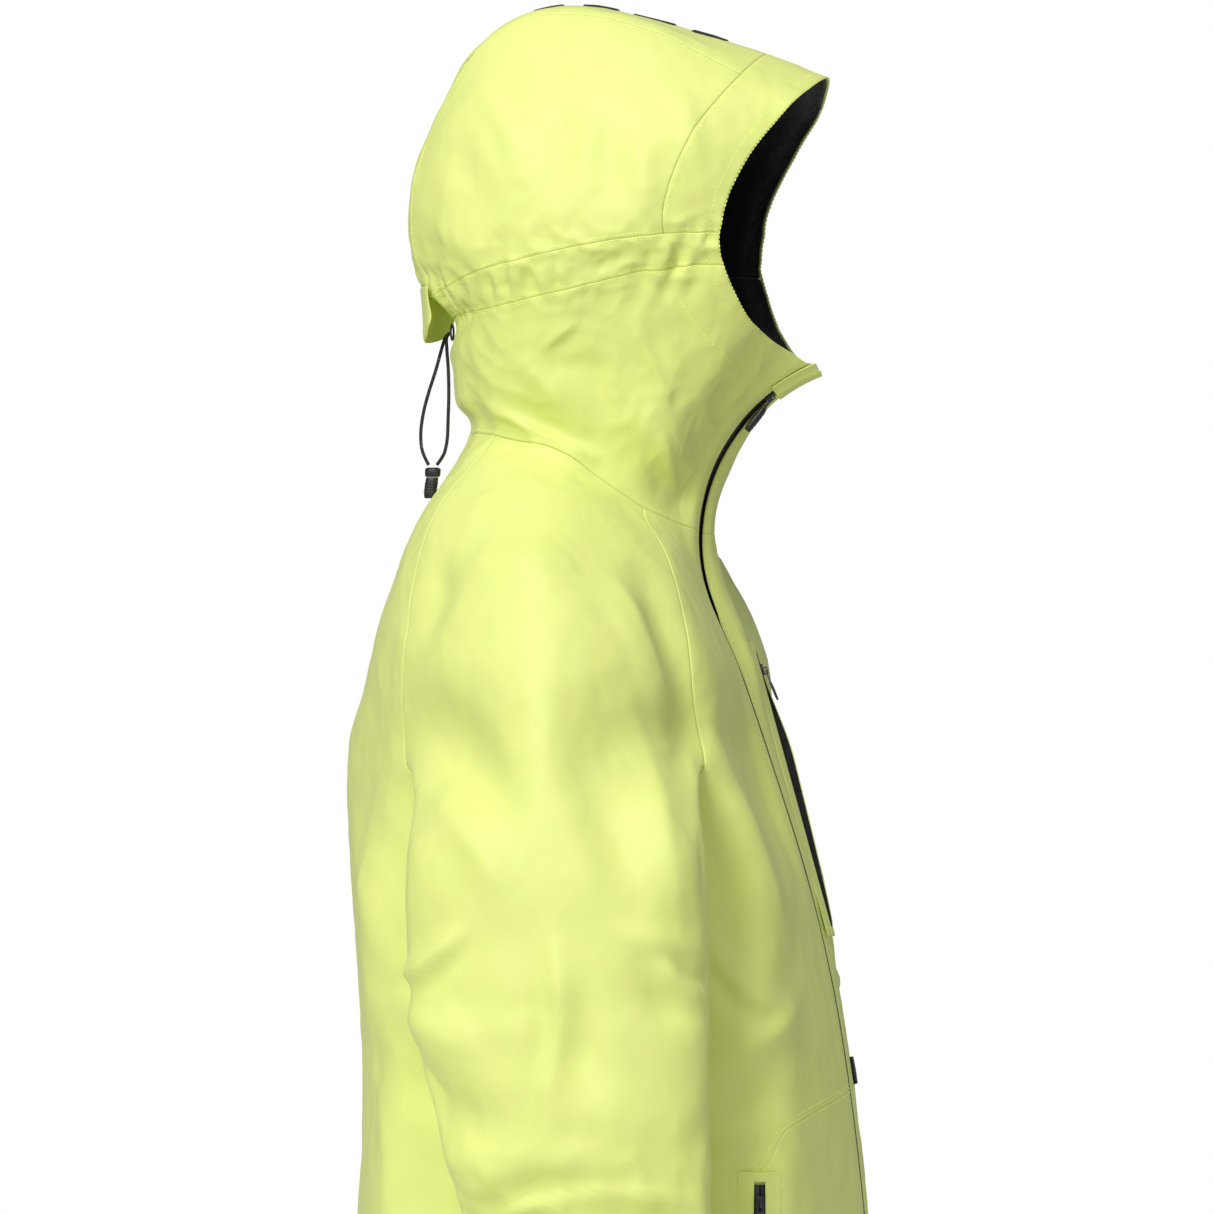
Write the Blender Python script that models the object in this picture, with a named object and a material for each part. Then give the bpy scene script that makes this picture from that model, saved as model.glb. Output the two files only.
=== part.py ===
"""Hooded hardshell ski jacket, built as the cut and sewn pieces it is made of.

Frame: metres, +Z up, the wearer faces -Y and the wearer's left is +X.
The origin is the centre of the wearer's neck base.

The garment surface is one coarse quad cage. Its rows are smooth closed curves through key
points, and each quad carries the name of the sewn panel it belongs to. Every panel is then
made a thin closed solid of its own, a seam gap away from its neighbours.
"""
from math import ceil, cos, pi, radians, sin

import bmesh
import bpy
import numpy as np
from mathutils import Vector
from mathutils.bvhtree import BVHTree

# ---------------------------------------------------------------- driving dimensions
SHELL = 0.0012              # shell fabric, as modelled
LINING = 0.0008             # lining fabric, as modelled
LINING_DROP = 0.0070        # lining below the shell's outer face
LINING_INSET = 0.008        # lining's edge inside the edges of the shell panels
SHARP_FOLD = 0.8            # cosine past which a panel keeps its own normal at a seam
SHARPEST_FOLD = 0.45        # cosine of the sharpest fold that is allowed for
SHARPEST_CORNER = 0.45      # limits how far a panel's corner is drawn in
FOLD_ROOM = 1.8             # shell thicknesses kept clear where two panels fold together
SEAM_GAP = 0.0004           # clearance between two sewn panels
TOUCH_GAP = 0.0003          # clearance between two pieces that rest on each other

ZIP_GAP = 0.0052            # half the width left open for the front zip
ZIP_ARC_RADIUS = 0.138      # the throat stretch of the front zip is a true arc
ZIP_ARC_CENTRE = Vector((-0.0206, -0.226, -0.038))
ZIP_LEAN = 0.165            # sideways lean of the arc's plane, per unit of height
ZIP_TOP = radians(68.0)
ZIP_NECK = radians(0.4)
ZIP_ARC_END = radians(-26.0)
SLIDER_REST = radians(51.0)
GARAGE_HEM = radians(52.5)
ARC_STATIONS = 16
SLIDER_LENGTH = 0.012
PIVOT_UP = -0.0016          # the puller's bar, from the slider's middle
PIVOT_OUT = 0.0027
PULLER_BAR = 0.0009
FRONT_PULLER = (0.030, 0.0085)      # length and width
FRONT_HANG = radians(14.0)          # how far the puller stands out from the zip at rest
POCKET_PULLER = (0.024, 0.0065)
POCKET_HANG = radians(7.0)
SLIDER_POST = 0.0005        # half width of the post between a slider's two plates
POCKET_SLIDER = 0.009
SLIDER_DOWN = 0.012         # a pocket's slider rests this far below its zip's top
BRIDGE_LOW = -0.0048        # the slider's arch, along it and out from it
BRIDGE_HIGH = 0.0016
BRIDGE_TOP = 0.0046
BRIDGE_THICK = 0.0008
BRIDGE_HALF = 0.0009
TAPE_HALF = 0.0056          # half width of the front zip's tapes

ARMPIT_Z = -0.207
HEM_Z = -0.735

UPPER_ROWS = 5              # neck seam to armpit
LOWER_ROWS = 6              # armpit to hem
NECK_ROWS = 4               # neck seam to chin and cinch seam
SLEEVE_ROWS = 7             # armpit to wrist
HOOD_ROWS = 6               # cinch seam to crown seam
SPAN = 3                    # columns between two key points of a row
FACE_COLUMN = 4             # column where the face opening starts
CROWN_COLUMN = 10           # column where the crown strip starts
LAST_COLUMN = 4 * SPAN      # centre back

NEON = (0.80, 0.93, 0.27, 1.0)
NEON_SHADE = (0.70, 0.83, 0.22, 1.0)
BLACK = (0.018, 0.018, 0.020, 1.0)
GRAPHITE = (0.045, 0.046, 0.050, 1.0)

# ---------------------------------------------------------------- key points, right half
# Each column runs from the neck seam to the hem, and column ends are sewn corners.
FRONT_LOWER = [(-0.0335, -0.1201, -0.1371), (-0.0340, -0.1445, ARMPIT_Z),
               (-0.0280, -0.1815, -0.334), (-0.0140, -0.2060, -0.490), (0.0, -0.2250, HEM_Z)]
RAGLAN_FRONT = [(-0.074, -0.054, -0.017), (-0.128, -0.082, -0.062), (-0.160, -0.103, -0.118),
                (-0.166, -0.116, ARMPIT_Z), (-0.150, -0.140, -0.334), (-0.150, -0.160, -0.490),
                (-0.155, -0.172, HEM_Z)]
SHOULDER = [(-0.087, 0.010, 0.025), (-0.160, 0.006, -0.020), (-0.226, -0.004, -0.076),
            (-0.268, -0.014, -0.190)]
SIDE = [(-0.171, -0.002, -0.236), (-0.172, 0.000, -0.334), (-0.180, -0.004, -0.490),
        (-0.193, -0.014, HEM_Z)]
RAGLAN_BACK = [(-0.062, 0.062, 0.0375), (-0.128, 0.098, -0.035), (-0.163, 0.108, -0.112),
               (-0.164, 0.108, ARMPIT_Z), (-0.152, 0.124, -0.334), (-0.148, 0.122, -0.490),
               (-0.155, 0.130, HEM_Z)]
BACK = [(0.0, 0.091, 0.0386), (0.0, 0.127, -0.035), (0.0, 0.158, -0.112),
        (0.0, 0.183, ARMPIT_Z), (0.0, 0.177, -0.334), (0.0, 0.169, -0.430), (0.0, 0.186, HEM_Z)]

# The chin edge, then the lower cinch seam from the cheek to the nape.
CHIN_EDGE = [(-0.040, -0.149, 0.104), (-0.080, -0.130, 0.126), (-0.100, -0.117, 0.160)]
CINCH_SEAM = [(-0.109, -0.067, 0.156), (-0.112, -0.004, 0.143), (-0.094, 0.051, 0.132),
              (-0.046, 0.091, 0.128), (0.0, 0.104, 0.127)]
FACE_EDGE = [(-0.104, -0.116, 0.186), (-0.102, -0.122, 0.212), (-0.094, -0.139, 0.246),
             (-0.068, -0.166, 0.284)]
SEAM_TOP = [(-0.060, -0.106, 0.3145), (-0.056, -0.060, 0.3385), (-0.055, 0.000, 0.3520),
            (-0.053, 0.045, 0.3480), (-0.049, 0.084, 0.3200)]
SEAM_BACK = [(-0.045, 0.114, 0.150), (-0.048, 0.128, 0.190), (-0.049, 0.120, 0.250)]
CROWN_TOP = [(0.0, -0.182, 0.3065), (0.0, -0.132, 0.3260), (0.0, -0.072, 0.3450),
             (0.0, -0.008, 0.3620), (0.0, 0.042, 0.3605), (0.0, 0.093, 0.3240)]
CROWN_BACK = [(0.0, 0.125, 0.148), (0.0, 0.1370, 0.190), (0.0, 0.130, 0.245)]
HOOD_CHEEK = 0.030          # how far the hood's side stands out from its edges
DOME_POWER = 3.0            # 2 is a round dome, more is flatter in the middle
CROWN_ROUND = 0.16          # how far the crown strip's quarter lines are lifted

# Sleeve rings below the armpit: centre x, y, z, half thickness, half depth, tilt in degrees.
SLEEVE_KEYS = [(-0.241, -0.018, -0.262, 0.053, 0.106, 0.0),
               (-0.250, -0.021, -0.360, 0.054, 0.109, 0.0),
               (-0.258, -0.034, -0.470, 0.051, 0.098, 8.0),
               (-0.262, -0.054, -0.580, 0.047, 0.088, 14.0),
               (-0.264, -0.084, -0.690, 0.037, 0.064, 18.0)]
CHEST_TOP = (0.024, 0.0, -0.128)
CHEST_BOTTOM = (-0.004, 0.0, -0.330)
CHEST_LIFT = 0.0072
HAND_TOP = (-0.150, -0.15, -0.512)
HAND_BOTTOM = (-0.163, -0.15, -0.660)
HAND_LIFT = 0.0080
BAG_DEPTH = -0.0048         # pocket bags hang this far behind the shell's outer face
BAG_THICK = 0.0012
BRIM_LOW = 0.281            # the brim's stiffener stays above this height
CROWN_TRIM = (0.040, -0.108)
FLAP_TOP = 0.150
FLAP_BOTTOM = 0.109
FLAP_HALF = 0.033
HANGER_Z = 0.030

CORD_DIAMETER = 0.0026
CORD_EXIT_Z = 0.117
CORD_END = (0.0, 0.1215, 0.0142)
CORD_ROUTES = {
    "hood_cord_outer_strand": [
        (0.0018, 0.1085, 0.1168), (0.0020, 0.1118, 0.1140), (0.0022, 0.1150, 0.1050),
        (0.0022, 0.1195, 0.0890), (0.0020, 0.1250, 0.0720), (0.0016, 0.1292, 0.0560),
        (0.0012, 0.1312, 0.0400), (0.0008, 0.1302, 0.0280), (0.0004, 0.1272, 0.0205),
        (0.0000, 0.1248, 0.0162)],
    "hood_cord_inner_strand": [
        (-0.0018, 0.1085, 0.1162), (-0.0022, 0.1104, 0.1130), (-0.0026, 0.1102, 0.1050),
        (-0.0028, 0.1090, 0.0890), (-0.0028, 0.1086, 0.0700), (-0.0026, 0.1092, 0.0500),
        (-0.0022, 0.1100, 0.0350), (-0.0014, 0.1124, 0.0250), (-0.0006, 0.1158, 0.0195),
        (0.0000, 0.1184, 0.0162)]}

CUFF_TOP = 0.90             # heights on the sleeve, as fractions of its straight length
CUFF_IN = 0.0016            # the cuff band stands this far outside the sleeve
CUFF_OUT = 0.0030
TAB_MIDDLE = 0.95
TAB_HALF = 0.032
TAB_SEWN = 60.0             # angles round the cuff, forward of straight out, in degrees
TAB_END = -48.0
SLEEVE_OUTER_SWEEP = 105.0  # the outer sleeve panel spans this many degrees each way


# ---------------------------------------------------------------- scene helpers
def clear_scene():
    for item in list(bpy.data.objects):
        bpy.data.objects.remove(item, do_unlink=True)


def material(name, colour, roughness, metallic=0.0):
    made = bpy.data.materials.new(name)
    made.use_nodes = True
    shader = made.node_tree.nodes["Principled BSDF"]
    shader.inputs["Base Color"].default_value = colour
    shader.inputs["Roughness"].default_value = roughness
    shader.inputs["Metallic"].default_value = metallic
    return made


def add_object(name, verts, faces, look, origin=Vector((0.0, 0.0, 0.0))):
    """Make one object from world points; its origin is put at the given place."""
    mesh = bpy.data.meshes.new(name)
    mesh.from_pydata([tuple(Vector(v) - origin) for v in verts], [], faces)
    bm = bmesh.new()
    bm.from_mesh(mesh)
    bmesh.ops.recalc_face_normals(bm, faces=bm.faces)
    bm.to_mesh(mesh)
    bm.free()
    made = bpy.data.objects.new(name, mesh)
    made.location = origin
    made.data.materials.append(material(name, *look))
    bpy.context.collection.objects.link(made)
    return made


# ---------------------------------------------------------------- curves
def spline_point(p0, p1, p2, p3, t):
    """A centripetal Catmull-Rom curve between p1 and p2, which stays smooth on uneven points."""
    t0 = 0.0
    t1 = t0 + max((p1 - p0).length, 1e-6) ** 0.5
    t2 = t1 + max((p2 - p1).length, 1e-6) ** 0.5
    t3 = t2 + max((p3 - p2).length, 1e-6) ** 0.5
    at = t1 + (t2 - t1) * t
    a1 = p0 * ((t1 - at) / (t1 - t0)) + p1 * ((at - t0) / (t1 - t0))
    a2 = p1 * ((t2 - at) / (t2 - t1)) + p2 * ((at - t1) / (t2 - t1))
    a3 = p2 * ((t3 - at) / (t3 - t2)) + p3 * ((at - t2) / (t3 - t2))
    b1 = a1 * ((t2 - at) / (t2 - t0)) + a2 * ((at - t0) / (t2 - t0))
    b2 = a2 * ((t3 - at) / (t3 - t1)) + a3 * ((at - t1) / (t3 - t1))
    return b1 * ((t2 - at) / (t2 - t1)) + b2 * ((at - t1) / (t2 - t1))


def curve_through(points, steps, closed=False):
    """Points along a smooth curve; steps[i] is the number of pieces of its span i."""
    keys = [Vector(p) for p in points]
    if closed:
        keys = [keys[-1]] + keys + [keys[0], keys[1]]
    else:
        keys = [keys[0] * 2 - keys[1]] + keys + [keys[-1] * 2 - keys[-2]]
    out = []
    for span, count in enumerate(steps):
        for step in range(count):
            out.append(spline_point(*keys[span:span + 4], step / count))
    out.append(keys[len(steps) + 1].copy())
    return out


def even_curve(points, count):
    """The same smooth curve cut into equal lengths."""
    fine = curve_through(points, [24] * (len(points) - 1))
    run = [0.0]
    for a, b in zip(fine, fine[1:]):
        run.append(run[-1] + (b - a).length)
    wanted = np.linspace(0.0, run[-1], count + 1)
    axes = [np.interp(wanted, run, [p[i] for p in fine]) for i in range(3)]
    return [Vector(p) for p in zip(*axes)]


# ---------------------------------------------------------------- front zip line
ARC_BACK = Vector((0.0, 1.0, 0.0))
ARC_UP = Vector((ZIP_LEAN, 0.0, 1.0)).normalized()
ARC_AXIS = ARC_BACK.cross(ARC_UP).normalized()      # points to the wearer's left


def arc_frame(angle):
    """Place, sideways, outward and upward directions of the zip at an angle on its arc."""
    inward = ARC_BACK * cos(angle) + ARC_UP * sin(angle)
    place = ZIP_ARC_CENTRE + inward * ZIP_ARC_RADIUS
    return place, ARC_AXIS, -inward, ARC_AXIS.cross(inward)


def zip_rows():
    """The zip line's points at the cage's rows: throat part, chest part and lower part."""
    throat = [arc_frame(a)[0] for a in np.linspace(ZIP_TOP, ZIP_NECK, NECK_ROWS + 1)]
    start = arc_frame(ZIP_NECK)[0]
    bend = arc_frame(radians(-13.0))[0]
    end = arc_frame(ZIP_ARC_END)[0]
    chest = even_curve([start, bend, end] + FRONT_LOWER[:2], UPPER_ROWS)
    lower = even_curve(FRONT_LOWER[1:], LOWER_ROWS)
    return throat, chest, lower


def line_frames(points):
    """Frames along a zip that runs down the front: sideways, outward and upward directions."""
    frames = []
    for i, place in enumerate(points):
        up = (points[max(i - 1, 0)] - points[min(i + 1, len(points) - 1)]).normalized()
        side = Vector((1.0, 0.0, 0.0))
        side = (side - up * side.dot(up)).normalized()
        frames.append((place, side, up.cross(side) * -1.0, up))
    return frames


# ---------------------------------------------------------------- cage
class Cage:
    """Vertices by name, and quads with the name of their shell panel and of their lining."""

    def __init__(self):
        self.index = {}
        self.points = []
        self.quads = []
        self.panels = []
        self.linings = []

    def put(self, key, place):
        self.index[key] = len(self.points)
        self.points.append(Vector(place))

    def at(self, key):
        return self.points[self.index[key]]

    def quad(self, panel, lining, *keys):
        self.quads.append(tuple(self.index[k] for k in keys))
        self.panels.append(panel)
        self.linings.append(lining)


SIDES = {"right": 1.0, "left": -1.0}     # the key points are the right half's


def to_side(point, side):
    return Vector((point[0] * SIDES[side], point[1], point[2]))


def zip_edge(place, side):
    """A panel's edge beside the front zip."""
    return place - ARC_AXIS * (ZIP_GAP * SIDES[side])


def body_row(cage, row, columns, counts, centre, back):
    """One row round the body: zip edge, right half, centre back, left half, zip edge."""
    right = [to_side(p, "right") for p in columns]
    left = [to_side(p, "left") for p in columns]
    keys = [zip_edge(centre, "right")] + right + [Vector(back)]
    keys += left[::-1] + [zip_edge(centre, "left")]
    steps = counts + counts[::-1]
    points = curve_through(keys, steps, closed=True)
    half = sum(counts)
    for column in range(half + 1):
        cage.put((row, column, "right"), points[column])
        if column < half:
            cage.put((row, column, "left"), points[2 * half - column])
        else:
            cage.index[(row, column, "left")] = cage.index[(row, column, "right")]


def build_upper_body(cage, chest):
    columns = [even_curve(keys[:4], UPPER_ROWS)
               for keys in (RAGLAN_FRONT, SHOULDER, RAGLAN_BACK, BACK)]
    for row in range(UPPER_ROWS + 1):
        front, shoulder, rear, back = [column[row] for column in columns]
        body_row(cage, ("upper", row), [front, shoulder, rear], [SPAN] * 4, chest[row], back)
    for side in SIDES:
        for row in range(UPPER_ROWS):
            for column in range(LAST_COLUMN):
                if column < SPAN:
                    panel = "front_panel_" + side
                elif column < 3 * SPAN:
                    panel = "sleeve_outer_" + side
                else:
                    panel = "back_panel"
                add_quad(cage, panel, "body_lining", ("upper", row), ("upper", row + 1), column,
                         side)


def add_quad(cage, panel, lining, row, next_row, column, side):
    keys = [(row, column, side), (next_row, column, side),
            (next_row, column + 1, side), (row, column + 1, side)]
    if side == "right":
        keys.reverse()
    cage.quad(panel, lining, *keys)


LOWER_COUNTS = [SPAN, 2, 2, SPAN]
LOWER_SIDE = SPAN + 2                  # column of the side seam
LOWER_LAST = sum(LOWER_COUNTS)


def build_lower_body(cage, lower):
    columns = [even_curve(keys, LOWER_ROWS)
               for keys in (RAGLAN_FRONT[3:], SIDE, RAGLAN_BACK[3:], BACK[3:])]
    for row in range(LOWER_ROWS + 1):
        front, flank, rear, back = [column[row] for column in columns]
        body_row(cage, ("lower", row), [front, flank, rear], LOWER_COUNTS, lower[row], back)
    share_armpit_row(cage)
    for side in SIDES:
        for row in range(LOWER_ROWS):
            for column in range(LOWER_LAST):
                panel = "front_panel_" + side if column < LOWER_SIDE else "back_panel"
                add_quad(cage, panel, "body_lining", ("lower", row), ("lower", row + 1), column,
                         side)


def share_armpit_row(cage):
    """The body's first lower row and last upper row are one row in front and behind."""
    for side in SIDES:
        for column in range(SPAN + 1):
            top = (("upper", UPPER_ROWS), column, side)
            cage.index[(("lower", 0), column, side)] = cage.index[top]
            top = (("upper", UPPER_ROWS), LAST_COLUMN - column, side)
            cage.index[(("lower", 0), LOWER_LAST - column, side)] = cage.index[top]


SLEEVE_OUTER = 2 * SPAN
SLEEVE_INNER = 4
SLEEVE_COUNT = SLEEVE_OUTER + SLEEVE_INNER


def sleeve_value(fraction):
    """Ring centre, half sizes and tilt at a fraction of the way down the sleeve."""
    where = fraction * (len(SLEEVE_KEYS) - 1)
    at = np.arange(len(SLEEVE_KEYS))
    return [float(np.interp(where, at, column)) for column in zip(*SLEEVE_KEYS)]


def sleeve_angle(step):
    """Angle of a ring point: 0 points outward, 90 points forward."""
    if step <= SLEEVE_OUTER:
        return SLEEVE_OUTER_SWEEP * (1.0 - 2.0 * step / SLEEVE_OUTER)
    inner = (360.0 - 2.0 * SLEEVE_OUTER_SWEEP) / SLEEVE_INNER
    return -SLEEVE_OUTER_SWEEP - inner * (step - SLEEVE_OUTER)


def sleeve_ring_point(values, step):
    x, y, z, thick, deep, tilt = values
    angle = radians(sleeve_angle(step))
    across = thick * cos(angle)
    forward = deep * sin(angle)
    lean = radians(tilt)
    return (x - across, y - forward * cos(lean), z - forward * sin(lean))


def build_sleeve(cage, side):
    for step in range(SLEEVE_COUNT):
        if step <= SLEEVE_OUTER:
            key = (("upper", UPPER_ROWS), SPAN + step, side)
        else:
            key = (("lower", 0), LOWER_LAST - SPAN - (step - SLEEVE_OUTER), side)
        cage.index[(("sleeve", 0), step, side)] = cage.index[key]
    for row in range(1, SLEEVE_ROWS + 1):
        values = sleeve_value((row - 1) / (SLEEVE_ROWS - 1))
        for step in range(SLEEVE_COUNT):
            place = to_side(sleeve_ring_point(values, step), side)
            cage.put((("sleeve", row), step, side), place)
    for row in range(SLEEVE_ROWS + 1):
        first = cage.index[(("sleeve", row), 0, side)]
        cage.index[(("sleeve", row), SLEEVE_COUNT, side)] = first
    for row in range(SLEEVE_ROWS):
        for step in range(SLEEVE_COUNT):
            kind = "sleeve_outer_" if step < SLEEVE_OUTER else "sleeve_under_"
            lining = "sleeve_lining_" + side if row > 0 else None
            add_quad(cage, kind + side, lining, ("sleeve", row), ("sleeve", row + 1), step, side)


def neck_top(throat):
    """The top edge of the neck panels: chin edge, then the lower cinch seam."""
    chin = curve_through([throat[0]] + CHIN_EDGE, [1, 2, 1])
    seam = even_curve([CHIN_EDGE[-1]] + CINCH_SEAM, LAST_COLUMN - FACE_COLUMN)
    return chin + seam[1:]


NECK_HOLLOW = [0.019, 0.017, 0.012, 0.008, 0.006, 0.005, 0.004, 0.003, 0.0, -0.003, -0.005,
               -0.006, -0.006]


def build_neck(cage, throat):
    top = neck_top(throat)
    for side in SIDES:
        for column in range(LAST_COLUMN + 1):
            low = cage.at((("upper", 0), column, side))
            high = to_side(top[column], side)
            if column == 0:
                high = zip_edge(throat[0], side)
            for row in range(NECK_ROWS + 1):
                key = (("neck", row), column, side)
                if row == NECK_ROWS:
                    cage.index[key] = cage.index[(("upper", 0), column, side)]
                elif column == LAST_COLUMN and side == "left":
                    cage.index[key] = cage.index[(("neck", row), column, "right")]
                else:
                    cage.put(key, neck_point(throat, low, high, row, column, side))
        for row in range(NECK_ROWS):
            for column in range(LAST_COLUMN):
                add_quad(cage, "neck_panel_" + side, "neck_lining", ("neck", row),
                         ("neck", row + 1), column, side)


def neck_point(throat, low, high, row, column, side):
    if column == 0:
        return zip_edge(throat[row], side)
    part = 1.0 - row / NECK_ROWS
    place = low.lerp(high, part)
    radial = Vector((place.x, place.y, 0.0)).normalized()
    return place - radial * (NECK_HOLLOW[column] * 4.0 * part * (1.0 - part))


def build_hood_side(cage, side):
    """A four sided patch: cinch seam, face edge, top and back of the crown seam."""
    wide = CROWN_COLUMN - FACE_COLUMN
    bottom = [cage.at((("neck", 0), FACE_COLUMN + c, side)) for c in range(wide + 1)]
    face = even_curve([CHIN_EDGE[-1]] + FACE_EDGE, HOOD_ROWS)
    top = even_curve([FACE_EDGE[-1]] + SEAM_TOP, wide)
    nape = to_side(bottom[-1], side)
    back = even_curve([nape] + SEAM_BACK + [SEAM_TOP[-1]], HOOD_ROWS)
    face, top, back = [[to_side(p, side) for p in line] for line in (face, top, back)]
    for row in range(HOOD_ROWS + 1):
        for column in range(wide + 1):
            key = (("hood", row), FACE_COLUMN + column, side)
            if row == 0:
                cage.index[key] = cage.index[(("neck", 0), FACE_COLUMN + column, side)]
                continue
            cage.put(key, patch_point(bottom, top, face, back, row, column, wide, side))
    for row in range(HOOD_ROWS):
        for column in range(wide):
            if row == 0:
                panel = "cinch_band_" + side
            elif column == 0:
                panel = "hood_brim"
            else:
                panel = "hood_side_" + side
            add_quad(cage, panel, "hood_lining", ("hood", row + 1), ("hood", row),
                     FACE_COLUMN + column, side)


def patch_point(bottom, top, face, back, row, column, wide, side):
    """Blend the patch's four edges, then stand the middle out sideways."""
    s = column / wide
    t = row / HOOD_ROWS
    ruled = bottom[column].lerp(top[column], t) + face[row].lerp(back[row], s)
    low = bottom[0].lerp(bottom[-1], s)
    high = top[0].lerp(top[-1], s)
    place = ruled - low.lerp(high, t)
    dome = (1.0 - abs(2.0 * s - 1.0) ** DOME_POWER) * (1.0 - abs(2.0 * t - 1.0) ** DOME_POWER)
    place.x -= SIDES[side] * HOOD_CHEEK * dome
    return place


def build_crown(cage):
    """The strip over the head, from the nape up the back and forward to the brim."""
    wide = CROWN_COLUMN - FACE_COLUMN
    nape = cage.at((("neck", 0), LAST_COLUMN, "right"))
    back = even_curve([nape] + CROWN_BACK + [CROWN_TOP[-1]], HOOD_ROWS)
    top = even_curve(CROWN_TOP, wide)[::-1]
    centre = back + top[1:]
    for step, middle in enumerate(centre):
        if step == 0:
            for side in SIDES:
                for column in range(CROWN_COLUMN, LAST_COLUMN + 1):
                    neck = cage.index[(("neck", 0), column, side)]
                    cage.index[(("crown", 0), column, side)] = neck
            continue
        cage.put((("crown", step), LAST_COLUMN, "right"), middle)
        same = cage.index[(("crown", step), LAST_COLUMN, "right")]
        cage.index[(("crown", step), LAST_COLUMN, "left")] = same
        for side in SIDES:
            if step <= HOOD_ROWS:
                edge = (("hood", step), CROWN_COLUMN, side)
            else:
                edge = (("hood", HOOD_ROWS), CROWN_COLUMN - (step - HOOD_ROWS), side)
            cage.index[(("crown", step), CROWN_COLUMN, side)] = cage.index[edge]
            half = cage.at(edge).lerp(middle, 0.5)
            lift = (middle - cage.at(edge)) * CROWN_ROUND
            lift.x = 0.0
            cage.put((("crown", step), CROWN_COLUMN + 1, side), half + lift)
    steps = HOOD_ROWS + wide
    for side in SIDES:
        for step in range(steps):
            for column in range(CROWN_COLUMN, LAST_COLUMN):
                if step == 0:
                    panel = "cinch_band_" + side
                elif step == steps - 1:
                    panel = "hood_brim"
                else:
                    panel = "hood_crown"
                add_quad(cage, panel, "hood_lining", ("crown", step + 1), ("crown", step), column,
                         side)


def build_cage():
    cage = Cage()
    throat, chest, lower = zip_rows()
    build_upper_body(cage, chest)
    build_lower_body(cage, lower)
    for side in SIDES:
        build_sleeve(cage, side)
    build_neck(cage, throat)
    for side in SIDES:
        build_hood_side(cage, side)
    build_crown(cage)
    return cage


# ---------------------------------------------------------------- panels as solids
def vertex_normals(cage, quads):
    """Area weighted normals at the vertices of some quads, pointing out of the garment."""
    normals = {}
    for quad in quads:
        a, b, c, d = [cage.points[i] for i in quad]
        face = (c - a).cross(d - b)
        for i in quad:
            normals[i] = normals.get(i, Vector()) + face
    return {i: n.normalized() for i, n in normals.items()}


def shared_normals(cage, quads):
    """The whole garment's normals, but a panel's own where it folds sharply at its edge."""
    own = vertex_normals(cage, quads)
    whole = vertex_normals(cage, cage.quads)
    return {i: whole[i] if whole[i].dot(n) > SHARP_FOLD else n for i, n in own.items()}


def fold_clearance(cage, quads):
    """Extra inset where two panels meet in a sharp fold, so their thicknesses don't meet."""
    own = vertex_normals(cage, quads)
    whole = vertex_normals(cage, cage.quads)
    extra = {}
    for i, normal in own.items():
        cosine = max(whole[i].dot(normal), SHARPEST_FOLD)
        if cosine <= SHARP_FOLD:
            extra[i] = FOLD_ROOM * SHELL * (1.0 / cosine ** 2 - 1.0) ** 0.5
    return extra


def panel_insets(cage, quads, distance, extra):
    """Moves that draw a panel's edge in along its own surface."""
    normals = vertex_normals(cage, quads)
    edges = {}
    for quad in quads:
        for a, b in zip(quad, quad[1:] + quad[:1]):
            edges.setdefault(frozenset((a, b)), []).append((a, b))
    moves = {}
    for pair in edges.values():
        if len(pair) > 1:
            continue
        a, b = pair[0]
        along = (cage.points[b] - cage.points[a]).normalized()
        for i in (a, b):
            moves.setdefault(i, []).append(normals[i].cross(along).normalized())
    shifts = {}
    for i, directions in moves.items():
        mean = sum(directions, Vector()) / len(directions)
        reach = distance + extra.get(i, 0.0)
        shifts[i] = mean * (reach / max(mean.length_squared, SHARPEST_CORNER))
    return shifts


def split_quad(quad, points):
    """Two triangles, cut along the quad's shorter diagonal."""
    a, b, c, d = quad
    if (points[a] - points[c]).length < (points[b] - points[d]).length - 1e-6:
        return [(a, b, c), (a, c, d)]
    return [(a, b, d), (b, c, d)]


def layer_faces(quads, points, half):
    """Triangles of an outer layer and, cut the same way, of the layer half a list behind it."""
    faces = []
    border = {}
    for quad in quads:
        for triangle in split_quad(quad, points):
            faces.append(triangle)
            faces.append(tuple(i + half for i in reversed(triangle)))
        for a, b in zip(quad, quad[1:] + quad[:1]):
            if (b, a) in border:
                del border[(b, a)]
            else:
                border[(a, b)] = True
    for a, b in border:
        faces.append((b, a, a + half, b + half))
    return faces


def panel_solid(cage, name, quads, normals, look, depths, inset, extra):
    """A closed thin solid between two depths below the garment's surface."""
    used = sorted({i for q in quads for i in q})
    local = {i: n for n, i in enumerate(used)}
    shifts = panel_insets(cage, quads, inset, extra)
    base = [cage.points[i] + shifts.get(i, Vector()) for i in used]
    upper = [p - normals[i] * depths[0] for p, i in zip(base, used)]
    under = [p - normals[i] * depths[1] for p, i in zip(base, used)]
    outer = [tuple(local[i] for i in quad) for quad in quads]
    faces = layer_faces(outer, upper, len(used))
    return add_object(name, upper + under, faces, look)


def build_panels(cage):
    for name in sorted(set(cage.panels)):
        quads = [q for q, p in zip(cage.quads, cage.panels) if p == name]
        normals = shared_normals(cage, quads)
        panel_solid(cage, name, quads, normals, (NEON, 0.55), (0.0, SHELL), SEAM_GAP / 2,
                    fold_clearance(cage, quads))


def build_linings(cage):
    for name in sorted({n for n in cage.linings if n}):
        quads = [q for q, n in zip(cage.quads, cage.linings) if n == name]
        normals = vertex_normals(cage, quads)
        panel_solid(cage, name, quads, normals, (BLACK, 0.75),
                    (LINING_DROP, LINING_DROP + LINING), LINING_INSET, {})


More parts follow.
